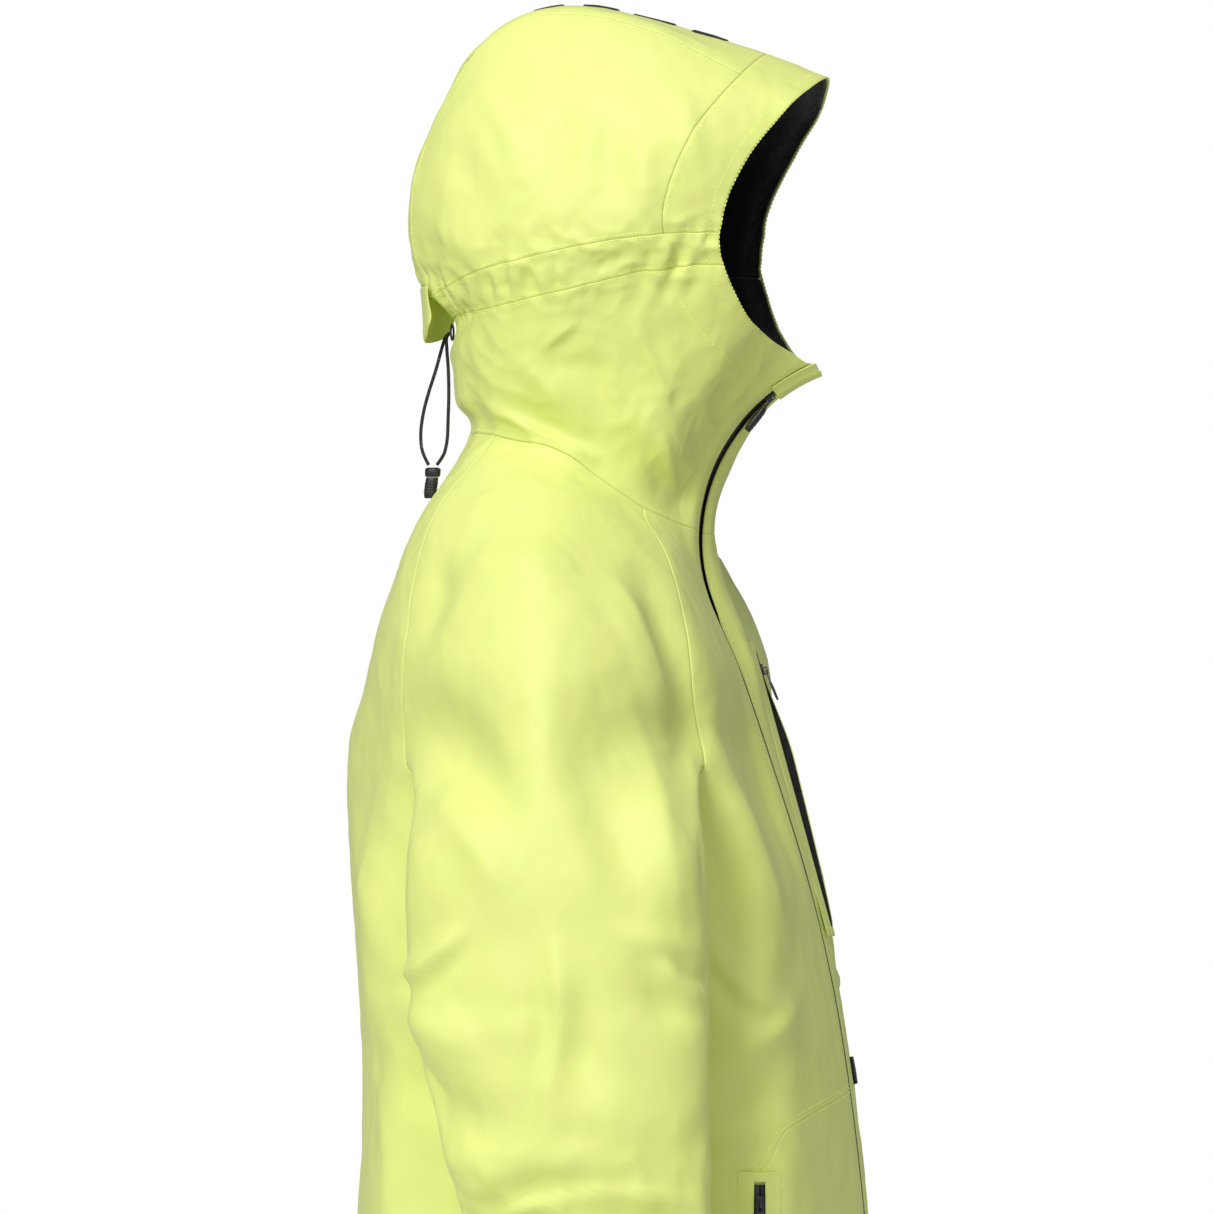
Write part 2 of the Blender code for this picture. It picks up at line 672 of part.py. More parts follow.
# ---------------------------------------------------------------- generic small solids
def sweep(name, profile, frames, look, origin=Vector((0.0, 0.0, 0.0))):
    """A closed bar: a profile of (sideways, outward) points carried along frames."""
    verts = [place + side * x + out * n for place, side, out, _ in frames for x, n in profile]
    count = len(profile)
    faces = []
    for ring in range(len(frames) - 1):
        for i in range(count):
            j = (i + 1) % count
            low = ring * count
            faces.append((low + i, low + j, low + count + j, low + count + i))
    faces.append(tuple(range(count)))
    faces.append(tuple(range(len(verts) - count, len(verts))))
    return add_object(name, verts, faces, look, origin)


def plate(name, top, bottom, look, origin=Vector((0.0, 0.0, 0.0))):
    """A closed plate between two grids of points with the same rows and columns."""
    columns = len(top[0])
    outer = [p for row in top for p in row]
    inner = [p for row in bottom for p in row]
    quads = []
    for row in range(len(top) - 1):
        for column in range(columns - 1):
            corner = row * columns + column
            quads.append((corner, corner + columns, corner + columns + 1, corner + 1))
    faces = layer_faces(quads, outer, len(outer))
    return add_object(name, outer + inner, faces, look, origin)


def union(target, tool):
    """Join a second solid to the first and remove the second."""
    cut = target.modifiers.new("join", "BOOLEAN")
    cut.operation = "UNION"
    cut.solver = "EXACT"
    cut.object = tool
    graph = bpy.context.evaluated_depsgraph_get()
    mesh = bpy.data.meshes.new_from_object(target.evaluated_get(graph))
    target.modifiers.clear()
    target.data = mesh
    bpy.data.objects.remove(tool, do_unlink=True)


# ---------------------------------------------------------------- zips
def front_slider(name, frame, look):
    """A zip slider: outer and inner plates on a thin post, with a bridge for the puller."""
    place, side, out, up = frame
    half, inner, post = 0.0042, 0.0034, SLIDER_POST
    low, deep = -0.0034, -0.0048
    profile = [(-post, 0.0002), (-half, 0.0002), (-half, 0.0016), (half, 0.0016),
               (half, 0.0002), (post, 0.0002), (post, low), (inner, low), (inner, deep),
               (-inner, deep), (-inner, low), (-post, low)]
    reach = up * (SLIDER_LENGTH / 2)
    ends = [(place - reach, side, out, up), (place + reach, side, out, up)]
    add_bridge(sweep(name, profile, ends, look, place), frame, look)


def add_bridge(body, frame, look):
    """The arch on a slider that the puller's bar lies under."""
    place, side, out, up = frame
    foot, under, top = 0.0009, BRIDGE_TOP - BRIDGE_THICK, BRIDGE_TOP
    low, high = BRIDGE_LOW, BRIDGE_HIGH
    profile = [(low, foot), (low, top), (high, top), (high, foot),
               (high - BRIDGE_THICK, foot), (high - BRIDGE_THICK, under),
               (low + BRIDGE_THICK, under), (low + BRIDGE_THICK, foot)]
    wide = side * BRIDGE_HALF
    ends = [(place - wide, up, out, side), (place + wide, up, out, side)]
    union(body, sweep(body.name + "_bridge", profile, ends, look, place))


def puller(name, frame, size, look, hang):
    """A zip puller: a windowed plate whose top bar lies under the slider's bridge."""
    place, side, out, up = frame
    length, width = size
    pivot = place + up * PIVOT_UP + out * PIVOT_OUT
    down = (-up * cos(hang) + out * sin(hang)).normalized()
    face = down.cross(side).normalized()
    bar = PULLER_BAR / 2
    across = [-width / 2, -0.0014, 0.0014, width / 2]
    neck = [-0.0024, -0.0014, 0.0014, 0.0024]
    along = [-bar, bar, 0.0058, 0.0085, length * 0.7, length]
    shape = [neck, neck, neck, across, across, [x * 0.8 for x in across]]
    verts = []
    for level in (bar, -bar):
        for distance, row in zip(along, shape):
            verts += [pivot + side * x + down * distance + face * level for x in row]
    rows, columns = len(along), 4
    half = rows * columns
    cells = [(r, c) for r in range(rows - 1) for c in range(3) if (r, c) != (1, 1)]
    quads = []
    for r, c in cells:
        corner = r * columns + c
        quads.append((corner, corner + columns, corner + columns + 1, corner + 1))
    faces = layer_faces(quads, verts, half)
    return add_object(name, verts, faces, look, pivot)


def tape_profile(side, width):
    """Half of a zip: a flat tape with its row of teeth as a raised rib at the slot."""
    points = [(0.0009, -0.0028), (width, -0.0028), (width, -0.0022), (0.0030, -0.0022),
              (0.0030, -0.0006), (0.0009, -0.0006)]
    return [(-x * SIDES[side], n) for x, n in points]


def front_zip_frames():
    """Frames down the whole front zip: close together on its arc, then row by row."""
    angles = np.linspace(ZIP_TOP - radians(1.0), ZIP_ARC_END, ARC_STATIONS)
    arc = [arc_frame(a) for a in angles]
    _, chest, lower = zip_rows()
    lowest = arc[-1][0].z - 0.012
    points = [p for p in chest + lower[1:] if p.z < lowest]
    points[-1] = points[-1].lerp(points[-2], 0.06)
    return arc + line_frames([arc[-1][0]] + points)[1:]


def build_front_zip():
    frames = front_zip_frames()
    for side in SIDES:
        sweep("front_zip_tape_" + side, tape_profile(side, TAPE_HALF), frames, (BLACK, 0.5))
    flap = [(-0.0090, -0.0062), (0.0090, -0.0062), (0.0090, -0.0070), (-0.0090, -0.0070)]
    sweep("front_zip_storm_flap", flap, frames[3:], (NEON_SHADE, 0.6))
    rest = arc_frame(SLIDER_REST)
    front_slider("front_zip_slider", rest, (GRAPHITE, 0.3))
    puller("front_zip_puller", rest, FRONT_PULLER, (BLACK, 0.45), FRONT_HANG)
    garage = [(-0.0150, 0.0004), (-0.0095, 0.0036), (-0.0058, 0.0066), (0.0058, 0.0066),
              (0.0095, 0.0036), (0.0150, 0.0004), (0.0140, 0.0002), (0.0090, 0.0026),
              (0.0054, 0.0056), (-0.0054, 0.0056), (-0.0090, 0.0026), (-0.0140, 0.0002)]
    cover = [arc_frame(a) for a in np.linspace(ZIP_TOP, GARAGE_HEM, 5)]
    sweep("zip_garage", garage, cover, (NEON, 0.55))
    foot = frames[-1]
    place = foot[0] - foot[3] * 0.0075
    box = [(-0.0048, -0.0030), (0.0048, -0.0030), (0.0048, 0.0006), (-0.0048, 0.0006)]
    ends = [(place - foot[3] * 0.0065, *foot[1:]), (place + foot[3] * 0.0065, *foot[1:])]
    sweep("front_zip_box", box, ends, (GRAPHITE, 0.35))


# ---------------------------------------------------------------- trims laid on the shell
def surface_tree(cage):
    return BVHTree.FromPolygons([tuple(p) for p in cage.points], cage.quads)


def drape(tree, point, direction):
    """The shell's surface as met from outside, coming in against a direction."""
    hit = tree.ray_cast(Vector(point) + direction * 0.6, -direction)[0]
    return hit if hit is not None else Vector(point)


def draped_plate(tree, name, grid, direction, low, thick, look):
    """A plate over the shell; low gives each column's clearance above it."""
    bottom = [[drape(tree, p, direction) + direction * gap for p, gap in zip(row, low)]
              for row in grid]
    top = [[p + direction * thick for p in row] for row in bottom]
    return plate(name, top, bottom, look)


def strip_grid(start, end, offsets, rows):
    """Points beside a line: rows along it, and sideways offsets across it."""
    start, end = Vector(start), Vector(end)
    across = Vector((1.0, 0.0, 0.0))
    along = (end - start).normalized()
    across = (across - along * across.dot(along)).normalized()
    return [[start.lerp(end, r / (rows - 1)) + across * x for x in offsets]
            for r in range(rows)]


def straight_zip(tree, name, start, end, direction, lift, look):
    """A short straight zip standing just off the shell, and the frame of its line."""
    high = drape(tree, start, direction) + direction * lift
    low = drape(tree, end, direction) + direction * lift
    up = (high - low).normalized()
    side = direction.cross(up).normalized()
    out = up.cross(side).normalized()
    frames = [(low, side, out, up), (high, side, out, up)]
    tape = [(-0.0075, -0.0028), (-0.0075, -0.0022), (-0.0030, -0.0022), (-0.0030, -0.0006),
            (-0.0009, -0.0006), (-0.0009, -0.0026), (0.0009, -0.0026), (0.0009, -0.0006),
            (0.0030, -0.0006), (0.0030, -0.0022), (0.0075, -0.0022), (0.0075, -0.0028)]
    sweep(name + "_zip_tape", tape, frames, look)
    return high, side, out, up


def pocket_slider(name, place, side, out, up):
    """A small slider that rides on a pocket zip, with its post in the zip's slot."""
    half, post = 0.0034, SLIDER_POST
    profile = [(-post, 0.0), (-half, 0.0), (-half, 0.0014), (half, 0.0014), (half, 0.0),
               (post, 0.0), (post, -0.0022), (-post, -0.0022)]
    reach = up * (POCKET_SLIDER / 2)
    ends = [(place - reach, side, out, up), (place + reach, side, out, up)]
    look = (GRAPHITE, 0.3)
    frame = (place, side, out, up)
    add_bridge(sweep(name + "_zip_slider", profile, ends, look, place), frame, look)
    puller(name + "_zip_puller", frame, POCKET_PULLER, (BLACK, 0.45), POCKET_HANG)


def build_chest_pocket(tree):
    forward = Vector((0.0, -1.0, 0.0))
    high, side, out, up = straight_zip(tree, "chest_pocket", CHEST_TOP, CHEST_BOTTOM,
                                       forward, CHEST_LIFT, (BLACK, 0.5))
    pocket_slider("chest_pocket", high - up * SLIDER_DOWN, side, out, up)
    lip = strip_grid(CHEST_TOP, CHEST_BOTTOM, [0.0105, 0.0160, 0.0220, 0.0290], 9)
    draped_plate(tree, "chest_pocket_lip", lip, forward, [0.0075, 0.0058, 0.0030, 0.0006],
                 SHELL, (NEON, 0.55))
    bag = strip_grid((CHEST_TOP[0] + 0.05, 0.0, CHEST_TOP[2] - 0.02),
                     (CHEST_BOTTOM[0] + 0.07, 0.0, CHEST_BOTTOM[2] + 0.02),
                     list(np.linspace(-0.03, 0.03, 6)), 11)
    draped_plate(tree, "chest_pocket_bag", bag, forward, [BAG_DEPTH] * 6, BAG_THICK,
                 (BLACK, 0.75))


def build_hand_pocket(tree, side):
    """A slanted pocket at the hip: zip, welt over it, and the bag behind the shell."""
    start, end = to_side(HAND_TOP, side), to_side(HAND_BOTTOM, side)
    guess = Vector((-0.7 * SIDES[side], -0.7, 0.0)).normalized()
    middle = start.lerp(end, 0.5)
    normal = tree.ray_cast(middle + guess * 0.6, -guess)[1]
    direction = Vector((normal.x, normal.y, 0.0)).normalized()
    name = "hand_pocket_" + side
    high, across, out, up = straight_zip(tree, name, start, end, direction, HAND_LIFT,
                                         (BLACK, 0.5))
    pocket_slider(name, high - up * SLIDER_DOWN, across, out, up)
    forward = across * -SIDES[side]

    def beside(offsets, rows, reach=1.0):
        return [[start.lerp(end, reach * r / (rows - 1)) + forward * x for x in offsets]
                for r in range(rows)]

    draped_plate(tree, name + "_welt", beside((0.0105, 0.0160, 0.0240, 0.0330), 9), direction,
                 [0.0070, 0.0054, 0.0030, 0.0010], SHELL, (NEON, 0.55))
    draped_plate(tree, name + "_bag", beside(np.linspace(0.010, 0.070, 7), 11, 0.85),
                 direction, [BAG_DEPTH] * 7, BAG_THICK, (BLACK, 0.75))


def build_front_tab(tree):
    """A small plain black loop label sewn beside the zip."""
    forward = Vector((0.0, -1.0, 0.0))
    grid = strip_grid((0.0040, 0.0, -0.430), (0.0055, 0.0, -0.452), [-0.0035, 0.0035], 3)
    draped_plate(tree, "front_tab", grid, forward, [0.0006, 0.0006], 0.0024, (BLACK, 0.5))


def build_crown_strip(tree):
    """The plain dark trim along the crown, one thin strip."""
    up = Vector((0.0, 0.0, 1.0))
    near, far = CROWN_TRIM
    grid = [[Vector((x, y, 0.3)) for x in (-0.012, -0.004, 0.004, 0.012)]
            for y in np.linspace(near, far, 16)]
    draped_plate(tree, "crown_trim", grid, up, [0.0016] * 4, 0.0008, (BLACK, 0.4))


# ---------------------------------------------------------------- hood back and cord
def build_rear_flap(tree):
    """The little flap at the nape that hangs over the cord exit."""
    back = Vector((0.0, 1.0, 0.0))
    top, bottom = [], []
    for t in np.linspace(0.0, 1.0, 6):
        height = FLAP_TOP + (FLAP_BOTTOM - FLAP_TOP) * t
        row = []
        for x in np.linspace(-1.0, 1.0, 9):
            wide = x * FLAP_HALF * (1.0 - 0.12 * t)
            sewn = drape(tree, (wide, 0.0, FLAP_TOP), back).y + 0.0012
            row.append(Vector((wide, sewn - 0.004 * t, height + 0.006 * t * x * x)))
        top.append([p + back * SHELL for p in row])
        bottom.append(row)
    plate("hood_rear_flap", top, bottom, (NEON, 0.55))


def build_eyelet(tree):
    """The cord's eyelet: a flat ring on the nape under the flap."""
    back = Vector((0.0, 1.0, 0.0))
    centre = drape(tree, (0.0, 0.0, CORD_EXIT_Z), back) + back * 0.0012
    sides = 20
    verts = []
    for radius, depth in ((0.0066, 0.0), (0.0066, 0.0014), (0.0044, 0.0014), (0.0044, 0.0)):
        for i in range(sides):
            turn = 2.0 * pi * i / sides
            verts.append(centre + Vector((cos(turn) * radius, depth, sin(turn) * radius)))
    faces = []
    for ring in range(4):
        for i in range(sides):
            j = (i + 1) % sides
            low, high = ring * sides, (ring + 1) % 4 * sides
            faces.append((low + i, low + j, high + j, high + i))
    add_object("cord_eyelet", verts, faces, (GRAPHITE, 0.35))


def build_cord_strand(name, route):
    """A tube along a smooth route, with a point every two and a half diameters."""
    length = sum((Vector(b) - Vector(a)).length for a, b in zip(route, route[1:]))
    points = even_curve(route, ceil(length / (CORD_DIAMETER * 2.5)))
    curve = bpy.data.curves.new(name, "CURVE")
    curve.dimensions = "3D"
    curve.bevel_depth = CORD_DIAMETER / 2
    curve.bevel_resolution = 2
    curve.use_fill_caps = True
    line = curve.splines.new("POLY")
    line.points.add(len(points) - 1)
    for slot, place in zip(line.points, points):
        slot.co = (*place, 1.0)
    made = bpy.data.objects.new(name, curve)
    made.data.materials.append(material(name, BLACK, 0.6))
    bpy.context.collection.objects.link(made)


def turned_box(name, rings, look):
    """A closed solid through rounded rectangular rings: centre, half width and half depth."""
    corners = [(1.0, 0.45), (0.45, 1.0), (-0.45, 1.0), (-1.0, 0.45),
               (-1.0, -0.45), (-0.45, -1.0), (0.45, -1.0), (1.0, -0.45)]
    verts = [Vector(centre) + Vector((x * wide, y * deep, 0.0))
             for centre, wide, deep in rings for x, y in corners]
    faces = []
    for ring in range(len(rings) - 1):
        for i in range(8):
            j = (i + 1) % 8
            faces.append((ring * 8 + i, ring * 8 + j, ring * 8 + 8 + j, ring * 8 + 8 + i))
    faces.append(tuple(range(8)))
    faces.append(tuple(range(len(verts) - 8, len(verts))))
    add_object(name, verts, faces, look)


def build_cord():
    for name, route in CORD_ROUTES.items():
        build_cord_strand(name, route)
    x, y, z = CORD_END
    cap = [((x, y, z), 0.0020, 0.0044), ((x, y, z - 0.0012), 0.0034, 0.0060),
           ((x, y + 0.0002, z - 0.0060), 0.0036, 0.0058),
           ((x, y + 0.0004, z - 0.0072), 0.0032, 0.0052)]
    turned_box("cord_end_cap", cap, (BLACK, 0.45))
    body = [((x, y + 0.0005, z - 0.0075), 0.0030, 0.0046),
            ((x, y + 0.0010, z - 0.0110), 0.0032, 0.0048),
            ((x, y + 0.0022, z - 0.0200), 0.0032, 0.0046),
            ((x, y + 0.0025, z - 0.0235), 0.0026, 0.0040)]
    turned_box("cord_end_body", body, (BLACK, 0.45))


# ---------------------------------------------------------------- sleeves' ends
def cuff_point(fraction, angle, grow, side):
    """A place round the sleeve's end, by angle in degrees and height as a fraction."""
    x, y, z, thick, deep, tilt = sleeve_value(fraction)
    turn, lean = radians(angle), radians(tilt)
    across = (thick + grow) * cos(turn)
    forward = (deep + grow) * sin(turn)
    return to_side((x - across, y - forward * cos(lean), z - forward * sin(lean)), side)


def build_cuff(side):
    """The cuff: a closed band round the sleeve's end."""
    fractions = [CUFF_TOP, (CUFF_TOP + 1.0) / 2, 1.0]
    steps = 24
    verts = []
    section = [(f, CUFF_OUT) for f in fractions] + [(f, CUFF_IN) for f in fractions[::-1]]
    for fraction, grow in section:
        verts += [cuff_point(fraction, 360.0 * i / steps, grow, side) for i in range(steps)]
    rings = 2 * len(fractions)
    faces = []
    for ring in range(rings):
        for i in range(steps):
            j = (i + 1) % steps
            low, high = ring * steps, (ring + 1) % rings * steps
            faces.append((low + i, low + j, high + j, high + i))
    add_object("cuff_" + side, verts, faces, (NEON, 0.55))


def cuff_plate(name, side, angles, fractions, grows, look, origin=Vector((0.0, 0.0, 0.0))):
    """A plate bent round the cuff."""
    def grid(grow):
        return [[cuff_point(f, a, grow, side) for a in angles] for f in fractions]

    return plate(name, grid(grows[1]), grid(grows[0]), look, origin)


def build_cuff_closure(side):
    """The cuff's tab, hinged on its sewn end, and the patch it closes on."""
    hinge = cuff_point(TAB_MIDDLE, TAB_SEWN, 0.0062, side)
    heights = [TAB_MIDDLE - TAB_HALF, TAB_MIDDLE, TAB_MIDDLE + TAB_HALF]
    cuff_plate("cuff_patch_" + side, side, np.linspace(TAB_SEWN - 12.0, TAB_END - 8.0, 9),
               [h + (TAB_MIDDLE - h) * 0.15 for h in heights], (0.0037, 0.0046),
               (GRAPHITE, 0.9))
    cuff_plate("cuff_tab_" + side, side, np.linspace(TAB_SEWN, TAB_END, 10), heights,
               (0.0054, 0.0072), (NEON, 0.5), hinge)


# ---------------------------------------------------------------- inner pieces
def build_inner_pieces(cage):
    brim = [q for q, p in zip(cage.quads, cage.panels) if p == "hood_brim"]
    brim = [q for q in brim if min(cage.points[i].z for i in q) > BRIM_LOW]
    panel_solid(cage, "brim_stiffener", brim, vertex_normals(cage, brim), (GRAPHITE, 0.5),
                (0.0030, 0.0044), 0.009, {})
    hem = [q for q, n in zip(cage.quads, cage.linings) if n == "body_lining"]
    low = HEM_Z + 0.02
    hem = [q for q in hem if min(cage.points[i].z for i in q) < low]
    panel_solid(cage, "hem_facing", hem, vertex_normals(cage, hem), (NEON_SHADE, 0.6),
                (0.0026, 0.0038), 0.012, {})


def build_hanger_loop(tree):
    """The loop inside the back of the neck by which the jacket hangs."""
    wall = drape(tree, (0.0, 0.0, HANGER_Z), Vector((0.0, 1.0, 0.0))).y
    inner = wall - LINING_DROP - LINING - 0.0050
    route = [(-0.022, inner, HANGER_Z), (-0.019, inner - 0.003, HANGER_Z + 0.004),
             (0.0, inner - 0.009, HANGER_Z + 0.006), (0.019, inner - 0.003, HANGER_Z + 0.004),
             (0.022, inner, HANGER_Z)]
    frames = []
    points = even_curve(route, 12)
    for i, place in enumerate(points):
        along = (points[min(i + 1, 12)] - points[max(i - 1, 0)]).normalized()
        out = along.cross(Vector((0.0, 0.0, 1.0))).normalized()
        frames.append((place, Vector((0.0, 0.0, 1.0)), out, along))
    tape = [(-0.004, -0.0006), (0.004, -0.0006), (0.004, 0.0006), (-0.004, 0.0006)]
    sweep("hanger_loop", tape, frames, (BLACK, 0.6))


def main():
    clear_scene()
    cage = build_cage()
    tree = surface_tree(cage)
    build_panels(cage)
    build_linings(cage)
    build_inner_pieces(cage)
    build_front_zip()
    build_chest_pocket(tree)
    for side in SIDES:
        build_hand_pocket(tree, side)
        build_cuff(side)
        build_cuff_closure(side)
    build_front_tab(tree)
    build_crown_strip(tree)
    build_rear_flap(tree)
    build_eyelet(tree)
    build_cord()
    build_hanger_loop(tree)


main()
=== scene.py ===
"""Looks of the ski jacket: fine sewn panels, zips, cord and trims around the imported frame.

The garment's cage is the one that the CAD part is made from. It is subdivided so that its limit
surface passes through the cage's points, then creased, draped and cut into the sewn panels.
"""
from math import copysign, cos, exp, pi, radians, sin, sqrt
import bmesh
import bpy
import numpy as np
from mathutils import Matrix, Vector, noise
from mathutils.bvhtree import BVHTree
from mathutils.kdtree import KDTree


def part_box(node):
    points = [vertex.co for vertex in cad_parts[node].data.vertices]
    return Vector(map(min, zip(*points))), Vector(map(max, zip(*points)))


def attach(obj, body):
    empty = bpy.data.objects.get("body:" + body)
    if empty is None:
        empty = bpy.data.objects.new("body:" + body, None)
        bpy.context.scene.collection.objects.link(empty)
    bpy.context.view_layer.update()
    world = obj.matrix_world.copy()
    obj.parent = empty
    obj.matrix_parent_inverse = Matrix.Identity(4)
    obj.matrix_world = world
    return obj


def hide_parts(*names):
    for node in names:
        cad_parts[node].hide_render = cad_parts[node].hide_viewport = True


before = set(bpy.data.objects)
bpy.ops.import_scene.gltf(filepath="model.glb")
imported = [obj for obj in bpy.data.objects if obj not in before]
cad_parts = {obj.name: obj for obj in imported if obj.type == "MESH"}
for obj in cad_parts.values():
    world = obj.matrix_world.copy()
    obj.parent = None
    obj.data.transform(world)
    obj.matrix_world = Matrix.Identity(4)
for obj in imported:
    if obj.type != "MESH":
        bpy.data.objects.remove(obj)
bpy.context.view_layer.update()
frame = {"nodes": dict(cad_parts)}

# ---------------------------------------------------------------- driving dimensions
ZIP_GAP = 0.0052            # half the width left open for the front zip
ZIP_ARC_RADIUS = 0.138      # the throat stretch of the front zip is a true arc
ZIP_ARC_CENTRE = Vector((-0.0206, -0.226, -0.038))
ZIP_LEAN = 0.165            # sideways lean of the arc's plane, per unit of height
ZIP_TOP = radians(68.0)
ZIP_NECK = radians(0.4)
ZIP_ARC_END = radians(-26.0)
SLIDER_REST = radians(51.0)
GARAGE_HEM = radians(52.5)
PIVOT_UP = -0.0016          # the puller's bar, from the slider's middle
PIVOT_OUT = 0.0027
FRONT_PULLER = (0.030, 0.0085)      # length and width
FRONT_HANG = radians(14.0)          # how far the puller stands out from the zip at rest
POCKET_PULLER = (0.024, 0.0065)
POCKET_HANG = radians(7.0)
SLIDER_DOWN = 0.012         # a pocket's slider rests this far below its zip's top
TAPE_HALF = 0.0056          # half width of the front zip's tapes

ARMPIT_Z = -0.207
HEM_Z = -0.735

UPPER_ROWS = 5              # neck seam to armpit
LOWER_ROWS = 6              # armpit to hem
NECK_ROWS = 4               # neck seam to chin and cinch seam
SLEEVE_ROWS = 7             # armpit to wrist
HOOD_ROWS = 6               # cinch seam to crown seam
SPAN = 3                    # columns between two key points of a row
FACE_COLUMN = 4             # column where the face opening starts
CROWN_COLUMN = 10           # column where the crown strip starts
LAST_COLUMN = 4 * SPAN      # centre back


# ---------------------------------------------------------------- key points, right half
# Each column runs from the neck seam to the hem, and column ends are sewn corners.
FRONT_LOWER = [(-0.0335, -0.1201, -0.1371), (-0.0340, -0.1445, ARMPIT_Z),
               (-0.0280, -0.1815, -0.334), (-0.0140, -0.2060, -0.490), (0.0, -0.2250, HEM_Z)]
RAGLAN_FRONT = [(-0.074, -0.054, -0.017), (-0.128, -0.082, -0.062), (-0.160, -0.103, -0.118),
                (-0.166, -0.116, ARMPIT_Z), (-0.150, -0.140, -0.334), (-0.150, -0.160, -0.490),
                (-0.155, -0.172, HEM_Z)]
SHOULDER = [(-0.087, 0.010, 0.025), (-0.160, 0.006, -0.020), (-0.226, -0.004, -0.076),
            (-0.268, -0.014, -0.190)]
SIDE = [(-0.171, -0.002, -0.236), (-0.172, 0.000, -0.334), (-0.180, -0.004, -0.490),
        (-0.193, -0.014, HEM_Z)]
RAGLAN_BACK = [(-0.062, 0.062, 0.0375), (-0.128, 0.098, -0.035), (-0.163, 0.108, -0.112),
               (-0.164, 0.108, ARMPIT_Z), (-0.152, 0.124, -0.334), (-0.148, 0.122, -0.490),
               (-0.155, 0.130, HEM_Z)]
BACK = [(0.0, 0.091, 0.0386), (0.0, 0.127, -0.035), (0.0, 0.158, -0.112),
        (0.0, 0.183, ARMPIT_Z), (0.0, 0.177, -0.334), (0.0, 0.169, -0.430), (0.0, 0.186, HEM_Z)]

# The chin edge, then the lower cinch seam from the cheek to the nape.
CHIN_EDGE = [(-0.040, -0.149, 0.104), (-0.080, -0.130, 0.126), (-0.100, -0.117, 0.160)]
CINCH_SEAM = [(-0.109, -0.067, 0.156), (-0.112, -0.004, 0.143), (-0.094, 0.051, 0.132),
              (-0.046, 0.091, 0.128), (0.0, 0.104, 0.127)]
FACE_EDGE = [(-0.104, -0.116, 0.186), (-0.102, -0.122, 0.212), (-0.094, -0.139, 0.246),
             (-0.068, -0.166, 0.284)]
SEAM_TOP = [(-0.060, -0.106, 0.3145), (-0.056, -0.060, 0.3385), (-0.055, 0.000, 0.3520),
            (-0.053, 0.045, 0.3480), (-0.049, 0.084, 0.3200)]
SEAM_BACK = [(-0.045, 0.114, 0.150), (-0.048, 0.128, 0.190), (-0.049, 0.120, 0.250)]
CROWN_TOP = [(0.0, -0.182, 0.3065), (0.0, -0.132, 0.3260), (0.0, -0.072, 0.3450),
             (0.0, -0.008, 0.3620), (0.0, 0.042, 0.3605), (0.0, 0.093, 0.3240)]
CROWN_BACK = [(0.0, 0.125, 0.148), (0.0, 0.1370, 0.190), (0.0, 0.130, 0.245)]
HOOD_CHEEK = 0.030          # how far the hood's side stands out from its edges
DOME_POWER = 3.0            # 2 is a round dome, more is flatter in the middle
CROWN_ROUND = 0.16          # how far the crown strip's quarter lines are lifted

# Sleeve rings below the armpit: centre x, y, z, half thickness, half depth, tilt in degrees.
SLEEVE_KEYS = [(-0.241, -0.018, -0.262, 0.053, 0.106, 0.0),
               (-0.250, -0.021, -0.360, 0.054, 0.109, 0.0),
               (-0.258, -0.034, -0.470, 0.051, 0.098, 8.0),
               (-0.262, -0.054, -0.580, 0.047, 0.088, 14.0),
               (-0.264, -0.084, -0.690, 0.037, 0.064, 18.0)]
CHEST_TOP = (0.024, 0.0, -0.128)
CHEST_BOTTOM = (-0.004, 0.0, -0.330)
CHEST_LIFT = 0.0072
HAND_TOP = (-0.150, -0.15, -0.512)
HAND_BOTTOM = (-0.163, -0.15, -0.660)
HAND_LIFT = 0.0080
BRIM_LOW = 0.281            # the brim's stiffener stays above this height
FLAP_TOP = 0.150
FLAP_BOTTOM = 0.109

CORD_DIAMETER = 0.0026
CORD_END = (0.0, 0.1215, 0.0142)
CORD_ROUTES = {
    "hood_cord_outer_strand": [
        (0.0018, 0.1085, 0.1168), (0.0020, 0.1118, 0.1140), (0.0022, 0.1150, 0.1050),
        (0.0022, 0.1195, 0.0890), (0.0020, 0.1250, 0.0720), (0.0016, 0.1292, 0.0560),
        (0.0012, 0.1312, 0.0400), (0.0008, 0.1302, 0.0280), (0.0004, 0.1272, 0.0205),
        (0.0000, 0.1248, 0.0162)],
    "hood_cord_inner_strand": [
        (-0.0018, 0.1085, 0.1162), (-0.0022, 0.1104, 0.1130), (-0.0026, 0.1102, 0.1050),
        (-0.0028, 0.1090, 0.0890), (-0.0028, 0.1086, 0.0700), (-0.0026, 0.1092, 0.0500),
        (-0.0022, 0.1100, 0.0350), (-0.0014, 0.1124, 0.0250), (-0.0006, 0.1158, 0.0195),
        (0.0000, 0.1184, 0.0162)]}

TAB_MIDDLE = 0.95
TAB_HALF = 0.032
TAB_SEWN = 60.0             # angles round the cuff, forward of straight out, in degrees
TAB_END = -48.0
SLEEVE_OUTER_SWEEP = 105.0  # the outer sleeve panel spans this many degrees each way


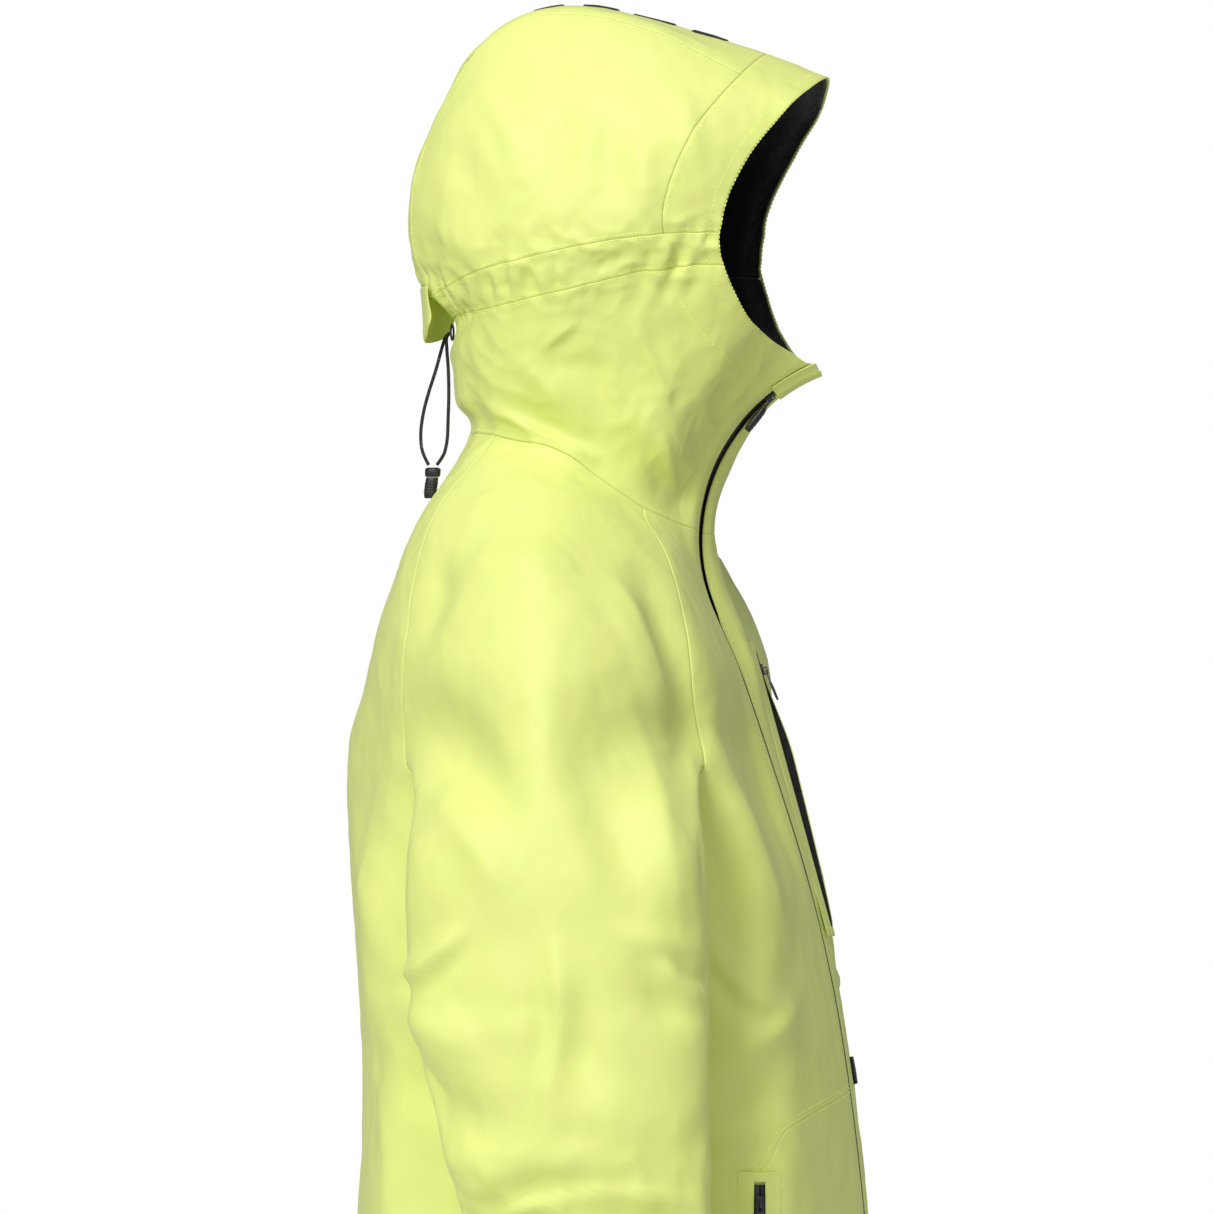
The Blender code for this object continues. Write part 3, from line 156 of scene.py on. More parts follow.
# ---------------------------------------------------------------- curves
def spline_point(p0, p1, p2, p3, t):
    """A centripetal Catmull-Rom curve between p1 and p2, which stays smooth on uneven points."""
    t0 = 0.0
    t1 = t0 + max((p1 - p0).length, 1e-6) ** 0.5
    t2 = t1 + max((p2 - p1).length, 1e-6) ** 0.5
    t3 = t2 + max((p3 - p2).length, 1e-6) ** 0.5
    at = t1 + (t2 - t1) * t
    a1 = p0 * ((t1 - at) / (t1 - t0)) + p1 * ((at - t0) / (t1 - t0))
    a2 = p1 * ((t2 - at) / (t2 - t1)) + p2 * ((at - t1) / (t2 - t1))
    a3 = p2 * ((t3 - at) / (t3 - t2)) + p3 * ((at - t2) / (t3 - t2))
    b1 = a1 * ((t2 - at) / (t2 - t0)) + a2 * ((at - t0) / (t2 - t0))
    b2 = a2 * ((t3 - at) / (t3 - t1)) + a3 * ((at - t1) / (t3 - t1))
    return b1 * ((t2 - at) / (t2 - t1)) + b2 * ((at - t1) / (t2 - t1))


def curve_through(points, steps, closed=False):
    """Points along a smooth curve; steps[i] is the number of pieces of its span i."""
    keys = [Vector(p) for p in points]
    if closed:
        keys = [keys[-1]] + keys + [keys[0], keys[1]]
    else:
        keys = [keys[0] * 2 - keys[1]] + keys + [keys[-1] * 2 - keys[-2]]
    out = []
    for span, count in enumerate(steps):
        for step in range(count):
            out.append(spline_point(*keys[span:span + 4], step / count))
    out.append(keys[len(steps) + 1].copy())
    return out


def even_curve(points, count):
    """The same smooth curve cut into equal lengths."""
    fine = curve_through(points, [24] * (len(points) - 1))
    run = [0.0]
    for a, b in zip(fine, fine[1:]):
        run.append(run[-1] + (b - a).length)
    wanted = np.linspace(0.0, run[-1], count + 1)
    axes = [np.interp(wanted, run, [p[i] for p in fine]) for i in range(3)]
    return [Vector(p) for p in zip(*axes)]


# ---------------------------------------------------------------- front zip line
ARC_BACK = Vector((0.0, 1.0, 0.0))
ARC_UP = Vector((ZIP_LEAN, 0.0, 1.0)).normalized()
ARC_AXIS = ARC_BACK.cross(ARC_UP).normalized()      # points to the wearer's left


def arc_frame(angle):
    """Place, sideways, outward and upward directions of the zip at an angle on its arc."""
    inward = ARC_BACK * cos(angle) + ARC_UP * sin(angle)
    place = ZIP_ARC_CENTRE + inward * ZIP_ARC_RADIUS
    return place, ARC_AXIS, -inward, ARC_AXIS.cross(inward)


def zip_rows():
    """The zip line's points at the cage's rows: throat part, chest part and lower part."""
    throat = [arc_frame(a)[0] for a in np.linspace(ZIP_TOP, ZIP_NECK, NECK_ROWS + 1)]
    start = arc_frame(ZIP_NECK)[0]
    bend = arc_frame(radians(-13.0))[0]
    end = arc_frame(ZIP_ARC_END)[0]
    chest = even_curve([start, bend, end] + FRONT_LOWER[:2], UPPER_ROWS)
    lower = even_curve(FRONT_LOWER[1:], LOWER_ROWS)
    return throat, chest, lower


def line_frames(points):
    """Frames along a zip that runs down the front: sideways, outward and upward directions."""
    frames = []
    for i, place in enumerate(points):
        up = (points[max(i - 1, 0)] - points[min(i + 1, len(points) - 1)]).normalized()
        side = Vector((1.0, 0.0, 0.0))
        side = (side - up * side.dot(up)).normalized()
        frames.append((place, side, up.cross(side) * -1.0, up))
    return frames


# ---------------------------------------------------------------- cage
class Cage:
    """Vertices by name, and quads with the name of their shell panel and of their lining."""

    def __init__(self):
        self.index = {}
        self.points = []
        self.quads = []
        self.panels = []
        self.linings = []
        self.corners = []

    def put(self, key, place):
        self.index[key] = len(self.points)
        self.points.append(Vector(place))

    def at(self, key):
        return self.points[self.index[key]]

    def quad(self, panel, lining, *keys):
        self.quads.append(tuple(self.index[k] for k in keys))
        self.corners.append([cloth_corner(k) for k in keys])
        self.panels.append(panel)
        self.linings.append(lining)


SIDES = {"right": 1.0, "left": -1.0}     # the key points are the right half's
CLOTH_STEP = {"upper": (0.055, 0.050), "lower": (0.062, 0.088), "sleeve": (0.036, 0.066),
              "neck": (0.034, 0.036), "hood": (0.032, 0.033), "crown": (0.028, 0.035)}


def cloth_corner(key):
    """Where a cage vertex lies on the flat cloth, in metres, for the weave."""
    (block, row), column, side = key
    wide, tall = CLOTH_STEP[block]
    return (column * wide * SIDES[side], row * tall)


def to_side(point, side):
    return Vector((point[0] * SIDES[side], point[1], point[2]))


def zip_edge(place, side):
    """A panel's edge beside the front zip."""
    return place - ARC_AXIS * (ZIP_GAP * SIDES[side])


def body_row(cage, row, columns, counts, centre, back):
    """One row round the body: zip edge, right half, centre back, left half, zip edge."""
    right = [to_side(p, "right") for p in columns]
    left = [to_side(p, "left") for p in columns]
    keys = [zip_edge(centre, "right")] + right + [Vector(back)]
    keys += left[::-1] + [zip_edge(centre, "left")]
    steps = counts + counts[::-1]
    points = curve_through(keys, steps, closed=True)
    half = sum(counts)
    for column in range(half + 1):
        cage.put((row, column, "right"), points[column])
        if column < half:
            cage.put((row, column, "left"), points[2 * half - column])
        else:
            cage.index[(row, column, "left")] = cage.index[(row, column, "right")]


def build_upper_body(cage, chest):
    columns = [even_curve(keys[:4], UPPER_ROWS)
               for keys in (RAGLAN_FRONT, SHOULDER, RAGLAN_BACK, BACK)]
    for row in range(UPPER_ROWS + 1):
        front, shoulder, rear, back = [column[row] for column in columns]
        body_row(cage, ("upper", row), [front, shoulder, rear], [SPAN] * 4, chest[row], back)
    for side in SIDES:
        for row in range(UPPER_ROWS):
            for column in range(LAST_COLUMN):
                if column < SPAN:
                    panel = "front_panel_" + side
                elif column < 3 * SPAN:
                    panel = "sleeve_outer_" + side
                else:
                    panel = "back_panel"
                add_quad(cage, panel, "body_lining", ("upper", row), ("upper", row + 1), column,
                         side)


def add_quad(cage, panel, lining, row, next_row, column, side):
    keys = [(row, column, side), (next_row, column, side),
            (next_row, column + 1, side), (row, column + 1, side)]
    if side == "right":
        keys.reverse()
    cage.quad(panel, lining, *keys)


LOWER_COUNTS = [SPAN, 2, 2, SPAN]
LOWER_SIDE = SPAN + 2                  # column of the side seam
LOWER_LAST = sum(LOWER_COUNTS)


def build_lower_body(cage, lower):
    columns = [even_curve(keys, LOWER_ROWS)
               for keys in (RAGLAN_FRONT[3:], SIDE, RAGLAN_BACK[3:], BACK[3:])]
    for row in range(LOWER_ROWS + 1):
        front, flank, rear, back = [column[row] for column in columns]
        body_row(cage, ("lower", row), [front, flank, rear], LOWER_COUNTS, lower[row], back)
    share_armpit_row(cage)
    for side in SIDES:
        for row in range(LOWER_ROWS):
            for column in range(LOWER_LAST):
                panel = "front_panel_" + side if column < LOWER_SIDE else "back_panel"
                add_quad(cage, panel, "body_lining", ("lower", row), ("lower", row + 1), column,
                         side)


def share_armpit_row(cage):
    """The body's first lower row and last upper row are one row in front and behind."""
    for side in SIDES:
        for column in range(SPAN + 1):
            top = (("upper", UPPER_ROWS), column, side)
            cage.index[(("lower", 0), column, side)] = cage.index[top]
            top = (("upper", UPPER_ROWS), LAST_COLUMN - column, side)
            cage.index[(("lower", 0), LOWER_LAST - column, side)] = cage.index[top]


SLEEVE_OUTER = 2 * SPAN
SLEEVE_INNER = 4
SLEEVE_COUNT = SLEEVE_OUTER + SLEEVE_INNER


def sleeve_value(fraction):
    """Ring centre, half sizes and tilt at a fraction of the way down the sleeve."""
    where = fraction * (len(SLEEVE_KEYS) - 1)
    at = np.arange(len(SLEEVE_KEYS))
    return [float(np.interp(where, at, column)) for column in zip(*SLEEVE_KEYS)]


def sleeve_angle(step):
    """Angle of a ring point: 0 points outward, 90 points forward."""
    if step <= SLEEVE_OUTER:
        return SLEEVE_OUTER_SWEEP * (1.0 - 2.0 * step / SLEEVE_OUTER)
    inner = (360.0 - 2.0 * SLEEVE_OUTER_SWEEP) / SLEEVE_INNER
    return -SLEEVE_OUTER_SWEEP - inner * (step - SLEEVE_OUTER)


def ring_point(values, angle, side, grow=0.0):
    """A place round the sleeve by angle in degrees, standing out from its ring."""
    x, y, z, thick, deep, tilt = values
    turn, lean = radians(angle), radians(tilt)
    across = (thick + grow) * cos(turn)
    forward = (deep + grow) * sin(turn)
    return to_side((x - across, y - forward * cos(lean), z - forward * sin(lean)), side)


def build_sleeve(cage, side):
    for step in range(SLEEVE_COUNT):
        if step <= SLEEVE_OUTER:
            key = (("upper", UPPER_ROWS), SPAN + step, side)
        else:
            key = (("lower", 0), LOWER_LAST - SPAN - (step - SLEEVE_OUTER), side)
        cage.index[(("sleeve", 0), step, side)] = cage.index[key]
    for row in range(1, SLEEVE_ROWS + 1):
        values = sleeve_value((row - 1) / (SLEEVE_ROWS - 1))
        for step in range(SLEEVE_COUNT):
            cage.put((("sleeve", row), step, side), ring_point(values, sleeve_angle(step), side))
    for row in range(SLEEVE_ROWS + 1):
        first = cage.index[(("sleeve", row), 0, side)]
        cage.index[(("sleeve", row), SLEEVE_COUNT, side)] = first
    for row in range(SLEEVE_ROWS):
        for step in range(SLEEVE_COUNT):
            kind = "sleeve_outer_" if step < SLEEVE_OUTER else "sleeve_under_"
            lining = "sleeve_lining_" + side if row > 0 else None
            add_quad(cage, kind + side, lining, ("sleeve", row), ("sleeve", row + 1), step, side)


def neck_top(throat):
    """The top edge of the neck panels: chin edge, then the lower cinch seam."""
    chin = curve_through([throat[0]] + CHIN_EDGE, [1, 2, 1])
    seam = even_curve([CHIN_EDGE[-1]] + CINCH_SEAM, LAST_COLUMN - FACE_COLUMN)
    return chin + seam[1:]


NECK_HOLLOW = [0.019, 0.017, 0.012, 0.008, 0.006, 0.005, 0.004, 0.003, 0.0, -0.003, -0.005,
               -0.006, -0.006]


def build_neck(cage, throat):
    top = neck_top(throat)
    for side in SIDES:
        for column in range(LAST_COLUMN + 1):
            low = cage.at((("upper", 0), column, side))
            high = to_side(top[column], side)
            if column == 0:
                high = zip_edge(throat[0], side)
            for row in range(NECK_ROWS + 1):
                key = (("neck", row), column, side)
                if row == NECK_ROWS:
                    cage.index[key] = cage.index[(("upper", 0), column, side)]
                elif column == LAST_COLUMN and side == "left":
                    cage.index[key] = cage.index[(("neck", row), column, "right")]
                else:
                    cage.put(key, neck_point(throat, low, high, row, column, side))
        for row in range(NECK_ROWS):
            for column in range(LAST_COLUMN):
                add_quad(cage, "neck_panel_" + side, "neck_lining", ("neck", row),
                         ("neck", row + 1), column, side)


def neck_point(throat, low, high, row, column, side):
    if column == 0:
        return zip_edge(throat[row], side)
    part = 1.0 - row / NECK_ROWS
    place = low.lerp(high, part)
    radial = Vector((place.x, place.y, 0.0)).normalized()
    return place - radial * (NECK_HOLLOW[column] * 4.0 * part * (1.0 - part))


def build_hood_side(cage, side):
    """A four sided patch: cinch seam, face edge, top and back of the crown seam."""
    wide = CROWN_COLUMN - FACE_COLUMN
    bottom = [cage.at((("neck", 0), FACE_COLUMN + c, side)) for c in range(wide + 1)]
    face = even_curve([CHIN_EDGE[-1]] + FACE_EDGE, HOOD_ROWS)
    top = even_curve([FACE_EDGE[-1]] + SEAM_TOP, wide)
    nape = to_side(bottom[-1], side)
    back = even_curve([nape] + SEAM_BACK + [SEAM_TOP[-1]], HOOD_ROWS)
    face, top, back = [[to_side(p, side) for p in line] for line in (face, top, back)]
    for row in range(HOOD_ROWS + 1):
        for column in range(wide + 1):
            key = (("hood", row), FACE_COLUMN + column, side)
            if row == 0:
                cage.index[key] = cage.index[(("neck", 0), FACE_COLUMN + column, side)]
                continue
            cage.put(key, patch_point(bottom, top, face, back, row, column, wide, side))
    for row in range(HOOD_ROWS):
        for column in range(wide):
            if row == 0:
                panel = "cinch_band_" + side
            elif column == 0:
                panel = "hood_brim"
            else:
                panel = "hood_side_" + side
            add_quad(cage, panel, "hood_lining", ("hood", row + 1), ("hood", row),
                     FACE_COLUMN + column, side)


def patch_point(bottom, top, face, back, row, column, wide, side):
    """Blend the patch's four edges, then stand the middle out sideways."""
    s = column / wide
    t = row / HOOD_ROWS
    ruled = bottom[column].lerp(top[column], t) + face[row].lerp(back[row], s)
    low = bottom[0].lerp(bottom[-1], s)
    high = top[0].lerp(top[-1], s)
    place = ruled - low.lerp(high, t)
    dome = (1.0 - abs(2.0 * s - 1.0) ** DOME_POWER) * (1.0 - abs(2.0 * t - 1.0) ** DOME_POWER)
    place.x -= SIDES[side] * HOOD_CHEEK * dome
    return place


def build_crown(cage):
    """The strip over the head, from the nape up the back and forward to the brim."""
    wide = CROWN_COLUMN - FACE_COLUMN
    nape = cage.at((("neck", 0), LAST_COLUMN, "right"))
    back = even_curve([nape] + CROWN_BACK + [CROWN_TOP[-1]], HOOD_ROWS)
    top = even_curve(CROWN_TOP, wide)[::-1]
    centre = back + top[1:]
    for step, middle in enumerate(centre):
        if step == 0:
            for side in SIDES:
                for column in range(CROWN_COLUMN, LAST_COLUMN + 1):
                    neck = cage.index[(("neck", 0), column, side)]
                    cage.index[(("crown", 0), column, side)] = neck
            continue
        cage.put((("crown", step), LAST_COLUMN, "right"), middle)
        same = cage.index[(("crown", step), LAST_COLUMN, "right")]
        cage.index[(("crown", step), LAST_COLUMN, "left")] = same
        for side in SIDES:
            if step <= HOOD_ROWS:
                edge = (("hood", step), CROWN_COLUMN, side)
            else:
                edge = (("hood", HOOD_ROWS), CROWN_COLUMN - (step - HOOD_ROWS), side)
            cage.index[(("crown", step), CROWN_COLUMN, side)] = cage.index[edge]
            half = cage.at(edge).lerp(middle, 0.5)
            lift = (middle - cage.at(edge)) * CROWN_ROUND
            lift.x = 0.0
            cage.put((("crown", step), CROWN_COLUMN + 1, side), half + lift)
    steps = HOOD_ROWS + wide
    for side in SIDES:
        for step in range(steps):
            for column in range(CROWN_COLUMN, LAST_COLUMN):
                if step == 0:
                    panel = "cinch_band_" + side
                elif step == steps - 1:
                    panel = "hood_brim"
                else:
                    panel = "hood_crown"
                add_quad(cage, panel, "hood_lining", ("crown", step + 1), ("crown", step), column,
                         side)


def build_cage():
    cage = Cage()
    throat, chest, lower = zip_rows()
    build_upper_body(cage, chest)
    build_lower_body(cage, lower)
    for side in SIDES:
        build_sleeve(cage, side)
    build_neck(cage, throat)
    for side in SIDES:
        build_hood_side(cage, side)
    build_crown(cage)
    return cage


# ---------------------------------------------------------------- fine surface
FIT_ROUNDS = 7
DRAPE_LEVEL = 2             # subdivision that the cloth is relaxed on
FOLD_LEVEL = 2              # and how much finer it is for the folds and the crinkles
SHELL_THICK = 0.0011
BODY = "jacket_shell"


class Surface:
    """Points, quads, the cage quad type of each quad, and each quad corner's place on flat cloth."""

    def __init__(self, points, quads, marks, corners):
        self.points = points
        self.quads = quads
        self.marks = marks
        self.corners = corners

    def normals(self):
        a, b, c, d = [self.points[self.quads[:, i]] for i in range(4)]
        face = np.cross(c - a, d - b)
        out = np.zeros_like(self.points)
        for i in range(4):
            np.add.at(out, self.quads[:, i], face)
        return out / np.maximum(np.linalg.norm(out, axis=1), 1e-12)[:, None]


def linked(name, data):
    """A new object in the scene."""
    obj = bpy.data.objects.new(name, data)
    bpy.context.collection.objects.link(obj)
    return obj


def point_tree(points):
    tree = KDTree(len(points))
    for i, place in enumerate(points):
        tree.insert(place, i)
    tree.balance()
    return tree


def bare_mesh(name, points, faces):
    mesh = bpy.data.meshes.new(name)
    mesh.from_pydata([tuple(p) for p in points], [], [tuple(f) for f in faces])
    return mesh


def evaluated_mesh(obj):
    graph = bpy.context.evaluated_depsgraph_get()
    graph.update()
    return bpy.data.meshes.new_from_object(obj.evaluated_get(graph))


def finer(surface, levels, limit):
    """The surface after Catmull-Clark subdivision, with its marks and cloth corners."""
    mesh = bare_mesh("finer", surface.points, surface.quads)
    mesh.polygons.foreach_set("material_index", surface.marks.astype(np.int32))
    layer = mesh.uv_layers.new(name="cloth")
    layer.data.foreach_set("uv", surface.corners.reshape(-1).astype(np.float32))
    obj = linked("finer", mesh)
    step = obj.modifiers.new("subdivide", "SUBSURF")
    step.levels = levels
    step.render_levels = levels
    step.use_limit_surface = limit
    step.boundary_smooth = "PRESERVE_CORNERS"
    step.uv_smooth = "NONE"
    made = evaluated_mesh(obj)
    points = np.zeros(len(made.vertices) * 3)
    made.vertices.foreach_get("co", points)
    quads = np.zeros(len(made.loops), np.int32)
    made.loops.foreach_get("vertex_index", quads)
    marks = np.zeros(len(made.polygons), np.int32)
    made.polygons.foreach_get("material_index", marks)
    corners = np.zeros(len(made.loops) * 2)
    made.uv_layers["cloth"].data.foreach_get("uv", corners)
    bpy.data.objects.remove(obj, do_unlink=True)
    bpy.data.meshes.remove(mesh)
    bpy.data.meshes.remove(made)
    return Surface(points.reshape(-1, 3), quads.reshape(-1, 4), marks, corners.reshape(-1, 4, 2))


def cage_surface(cage):
    """The cage as arrays. A mark is the index of a pair of panel name and lining name."""
    pairs = sorted({(p, l or "") for p, l in zip(cage.panels, cage.linings)})
    order = {pair: i for i, pair in enumerate(pairs)}
    marks = np.array([order[(p, l or "")] for p, l in zip(cage.panels, cage.linings)])
    corners = np.array(cage.corners, float)
    points = np.array([tuple(p) for p in cage.points])
    return Surface(points, np.array(cage.quads), marks, corners), pairs


def fitted_cage(surface):
    """Move the cage's points so that the smooth limit surface passes through the old ones."""
    wanted = surface.points.copy()
    fitted = Surface(wanted.copy(), surface.quads, surface.marks, surface.corners)
    for _ in range(FIT_ROUNDS):
        smooth = finer(fitted, 1, True).points[:len(wanted)]
        fitted.points += wanted - smooth
    return fitted


# ---------------------------------------------------------------- folds
LOOK_SIDE = Vector((-0.9848, -0.1736, 0.0))     # towards whoever looks at the wearer's right
ALONG_SIDE = Vector((0.1736, -0.9848, 0.0))     # forward, as seen from there


def smooth_step(t):
    t = np.clip(t, 0.0, 1.0)
    return t * t * (3.0 - 2.0 * t)


def fold_profile(kind, t):
    """A fold's height across it; t is the distance from its line, 1 at its edge."""
    t = np.clip(t, 0.0, 1.0)
    if kind == "crease":
        return (1.0 - t) ** 2 * (1.0 + 0.6 * t)
    return (0.5 + 0.5 * np.cos(pi * t)) ** 1.2


def distance_to_line(points, line):
    """Distance from points to a polyline, which side they are on, and how far along it they lie."""
    best = np.full(len(points), 1e9)
    along = np.zeros(len(points))
    side = np.zeros(len(points))
    lengths = [np.linalg.norm(b - a) for a, b in zip(line, line[1:])]
    total = sum(lengths)
    run = 0.0
    for a, b, length in zip(line, line[1:], lengths):
        ray = b - a
        t = np.clip((points - a) @ ray / max(length * length, 1e-12), 0.0, 1.0)
        away = points - (a + t[:, None] * ray)
        gap = np.linalg.norm(away, axis=1)
        near = gap < best
        best[near] = gap[near]
        along[near] = (run + t[near] * length) / total
        side[near] = np.sign(ray[0] * away[near, 1] - ray[1] * away[near, 0])
        run += length
    return best, along, side


def side_fold(points, normals, fold, mirror=False):
    """How far one fold moves each point; it is drawn as seen from the wearer's right."""
    width, height, kind, line, taper = fold
    sign = -1.0 if mirror else 1.0
    flat = points * np.array([sign, 1.0, 1.0])
    facing = (normals * np.array([sign, 1.0, 1.0])) @ np.array(LOOK_SIDE)
    seen = np.stack([flat @ np.array(ALONG_SIDE), flat[:, 2]], axis=1)
    keys = [Vector((u, z, 0.0)) for u, z in line]
    smooth = [np.array(p[:2]) for p in curve_through(keys, [5] * (len(keys) - 1))]
    low = np.min(smooth, axis=0) - width
    high = np.max(smooth, axis=0) + width
    near = np.all((seen > low) & (seen < high), axis=1) & (flat[:, 0] < 0.02) & (facing > 0.02)
    move = np.zeros(len(points))
    if not near.any():
        return move
    distance, along, side = distance_to_line(seen[near], smooth)
    fade = smooth_step(along / taper) * smooth_step((1.0 - along) / taper)
    fade *= smooth_step((facing[near] - 0.05) / 0.3)
    if kind == "step":
        t = np.clip(distance / width, 0.0, 1.0)
        steep = np.clip(t / 0.34, 0.0, 1.0)
        under = (1.0 - steep) ** 2 - 0.30 * np.sin(pi * t) ** 2
        shape = np.where(side > 0.0, (1.0 - t) ** 2 * (1.0 + 0.4 * t), under)
    else:
        shape = fold_profile(kind, distance / width)
    move[near] = height * fade * shape
    return move


# Each fold: half width, height (negative sinks), kind, its line as (forward, height), and the
# share of its length over which it starts and ends.
SLEEVE_FOLDS = [
    (0.034, -0.0075, "soft", [(-0.100, -0.552), (-0.058, -0.530), (-0.010, -0.519),
                              (0.045, -0.520), (0.092, -0.531)], 0.22),
    (0.026, 0.0065, "step", [(0.088, -0.517), (0.045, -0.508), (0.000, -0.507),
                             (-0.052, -0.520), (-0.092, -0.548)], 0.25),
    (0.030, 0.0050, "crease", [(-0.152, -0.366), (-0.110, -0.395), (-0.062, -0.412)], 0.5),
    (0.036, -0.0055, "soft", [(-0.145, -0.420), (-0.100, -0.450), (-0.050, -0.462)], 0.45),
    (0.024, 0.0040, "crease", [(-0.118, -0.470), (-0.080, -0.490), (-0.035, -0.492)], 0.5),
    (0.030, -0.0050, "soft", [(0.098, -0.385), (0.060, -0.372), (0.020, -0.350)], 0.5),
    (0.022, 0.0040, "crease", [(0.090, -0.350), (0.052, -0.330), (0.005, -0.322)], 0.5),
    (0.036, -0.0045, "soft", [(-0.030, -0.360), (-0.010, -0.400), (0.000, -0.450)], 0.5),
    (0.026, 0.0038, "crease", [(0.015, -0.130), (0.050, -0.230), (0.068, -0.330)], 0.45),
    (0.034, -0.0046, "soft", [(-0.020, -0.170), (0.018, -0.250), (0.040, -0.330)], 0.45),
    (0.034, -0.0050, "soft", [(-0.128, -0.150), (-0.085, -0.200), (-0.050, -0.262)], 0.45),
    (0.026, 0.0040, "crease", [(-0.138, -0.210), (-0.090, -0.250), (-0.040, -0.330)], 0.5),
    (0.026, -0.0060, "soft", [(0.022, -0.055), (0.050, -0.105), (0.068, -0.158),
                              (0.082, -0.225)], 0.35),
    (0.022, 0.0050, "crease", [(0.006, -0.062), (0.034, -0.096), (0.052, -0.140),
                               (0.068, -0.190)], 0.35),
    (0.030, 0.0035, "crease", [(-0.112, -0.070), (-0.060, -0.060), (0.000, -0.063)], 0.4),
    (0.020, -0.0040, "soft", [(-0.102, -0.045), (-0.112, -0.085), (-0.134, -0.125)], 0.45),
    (0.019, 0.0062, "step", [(0.094, -0.374), (0.070, -0.361), (0.044, -0.338)], 0.40),
    (0.024, 0.0042, "step", [(-0.030, -0.300), (-0.022, -0.390), (-0.040, -0.470)], 0.40),
    (0.018, 0.0060, "step", [(-0.152, -0.366), (-0.118, -0.352), (-0.080, -0.315)], 0.40),
]
BODY_FOLDS = [
    (0.030, -0.0055, "soft", [(0.085, -0.240), (0.106, -0.310), (0.114, -0.390)], 0.4),
    (0.022, 0.0045, "crease", [(0.096, -0.190), (0.122, -0.270), (0.150, -0.360)], 0.4),
    (0.034, -0.0055, "soft", [(0.105, -0.130), (0.130, -0.210), (0.158, -0.300)], 0.4),
    (0.022, 0.0040, "crease", [(0.084, -0.430), (0.120, -0.400), (0.165, -0.385)], 0.5),
    (0.034, -0.0050, "soft", [(0.084, -0.480), (0.118, -0.450), (0.160, -0.430)], 0.5),
    (0.028, 0.0045, "crease", [(-0.185, -0.235), (-0.165, -0.300), (-0.150, -0.380)], 0.4),
    (0.034, -0.0055, "soft", [(-0.190, -0.350), (-0.170, -0.430), (-0.165, -0.530)], 0.4),
    (0.028, 0.0045, "crease", [(-0.178, -0.400), (-0.150, -0.480), (-0.140, -0.600)], 0.4),
    (0.034, 0.0050, "crease", [(0.110, -0.520), (0.120, -0.600), (0.115, -0.700)], 0.4),
    (0.034, -0.0050, "soft", [(0.060, -0.540), (0.070, -0.620), (0.066, -0.710)], 0.4),
    (0.019, 0.0055, "step", [(0.084, -0.330), (0.112, -0.372), (0.152, -0.392)], 0.40),
    (0.019, 0.0055, "step", [(0.156, -0.376), (0.132, -0.402), (0.096, -0.420)], 0.50),
    (0.019, 0.0055, "step", [(0.084, -0.502), (0.104, -0.488), (0.126, -0.468)], 0.40),
    (0.024, 0.0050, "step", [(-0.190, -0.300), (-0.172, -0.380), (-0.158, -0.440)], 0.40),
]
HOOD_FOLDS = [
    (0.017, 0.0058, "step", [(0.014, 0.016), (-0.024, 0.031), (-0.056, 0.050),
                             (-0.084, 0.063)], 0.22),
    (0.016, 0.0036, "step", [(0.062, 0.052), (0.050, 0.084), (0.034, 0.118)], 0.35),
    (0.016, 0.0032, "step", [(-0.040, 0.094), (-0.024, 0.108), (-0.004, 0.122)], 0.4),
    (0.016, 0.0034, "step", [(0.072, -0.012), (0.060, 0.014), (0.052, 0.044)], 0.4),
    (0.022, -0.0045, "soft", [(-0.082, 0.036), (-0.050, 0.024), (-0.010, 0.004)], 0.4),
    (0.026, -0.0050, "soft", [(0.040, 0.020), (0.062, -0.004), (0.086, -0.026)], 0.4),
    (0.018, 0.0040, "crease", [(0.030, 0.070), (0.052, 0.036), (0.078, -0.002)], 0.4),
    (0.022, -0.0040, "soft", [(-0.030, 0.112), (0.000, 0.080), (0.030, 0.040)], 0.45),
    (0.018, 0.0036, "crease", [(-0.070, 0.108), (-0.040, 0.080), (-0.014, 0.042)], 0.45),
    (0.016, 0.0034, "crease", [(0.012, 0.140), (0.040, 0.105), (0.072, 0.060)], 0.4),
    (0.020, -0.0034, "soft", [(0.044, 0.140), (0.070, 0.105), (0.092, 0.062)], 0.4),
    (0.018, 0.0036, "crease", [(0.046, 0.262), (0.040, 0.225), (0.048, 0.190)], 0.4),
    (0.024, -0.0040, "soft", [(0.020, 0.285), (0.014, 0.235), (0.020, 0.190)], 0.4),
    (0.022, -0.0036, "soft", [(-0.110, 0.265), (-0.088, 0.225), (-0.080, 0.178)], 0.4),
    (0.018, 0.0034, "crease", [(-0.122, 0.205), (-0.098, 0.180), (-0.062, 0.168)], 0.4),
    (0.024, -0.0036, "soft", [(-0.030, 0.300), (-0.020, 0.250), (-0.030, 0.200)], 0.4),
    (0.016, 0.0030, "crease", [(-0.090, 0.310), (-0.060, 0.260), (-0.046, 0.210)], 0.4),
    (0.016, 0.0034, "crease", [(0.066, 0.300), (0.074, 0.262), (0.086, 0.225)], 0.4),
]
LEFT_SHIFT = (0.012, -0.014)        # the left side's folds aren't quite the right side's


def shifted(fold):
    width, height, kind, line, taper = fold
    moved = [(u + LEFT_SHIFT[0] * sin(31.0 * z), z + LEFT_SHIFT[1] * cos(23.0 * u)) for u, z in line]
    return width, height * 0.9, kind, moved, taper


FOLD_DEPTH = 1.9            # scales every fold on the sleeves and the body


def deeper(fold):
    return (fold[0], fold[1] * FOLD_DEPTH) + fold[2:]


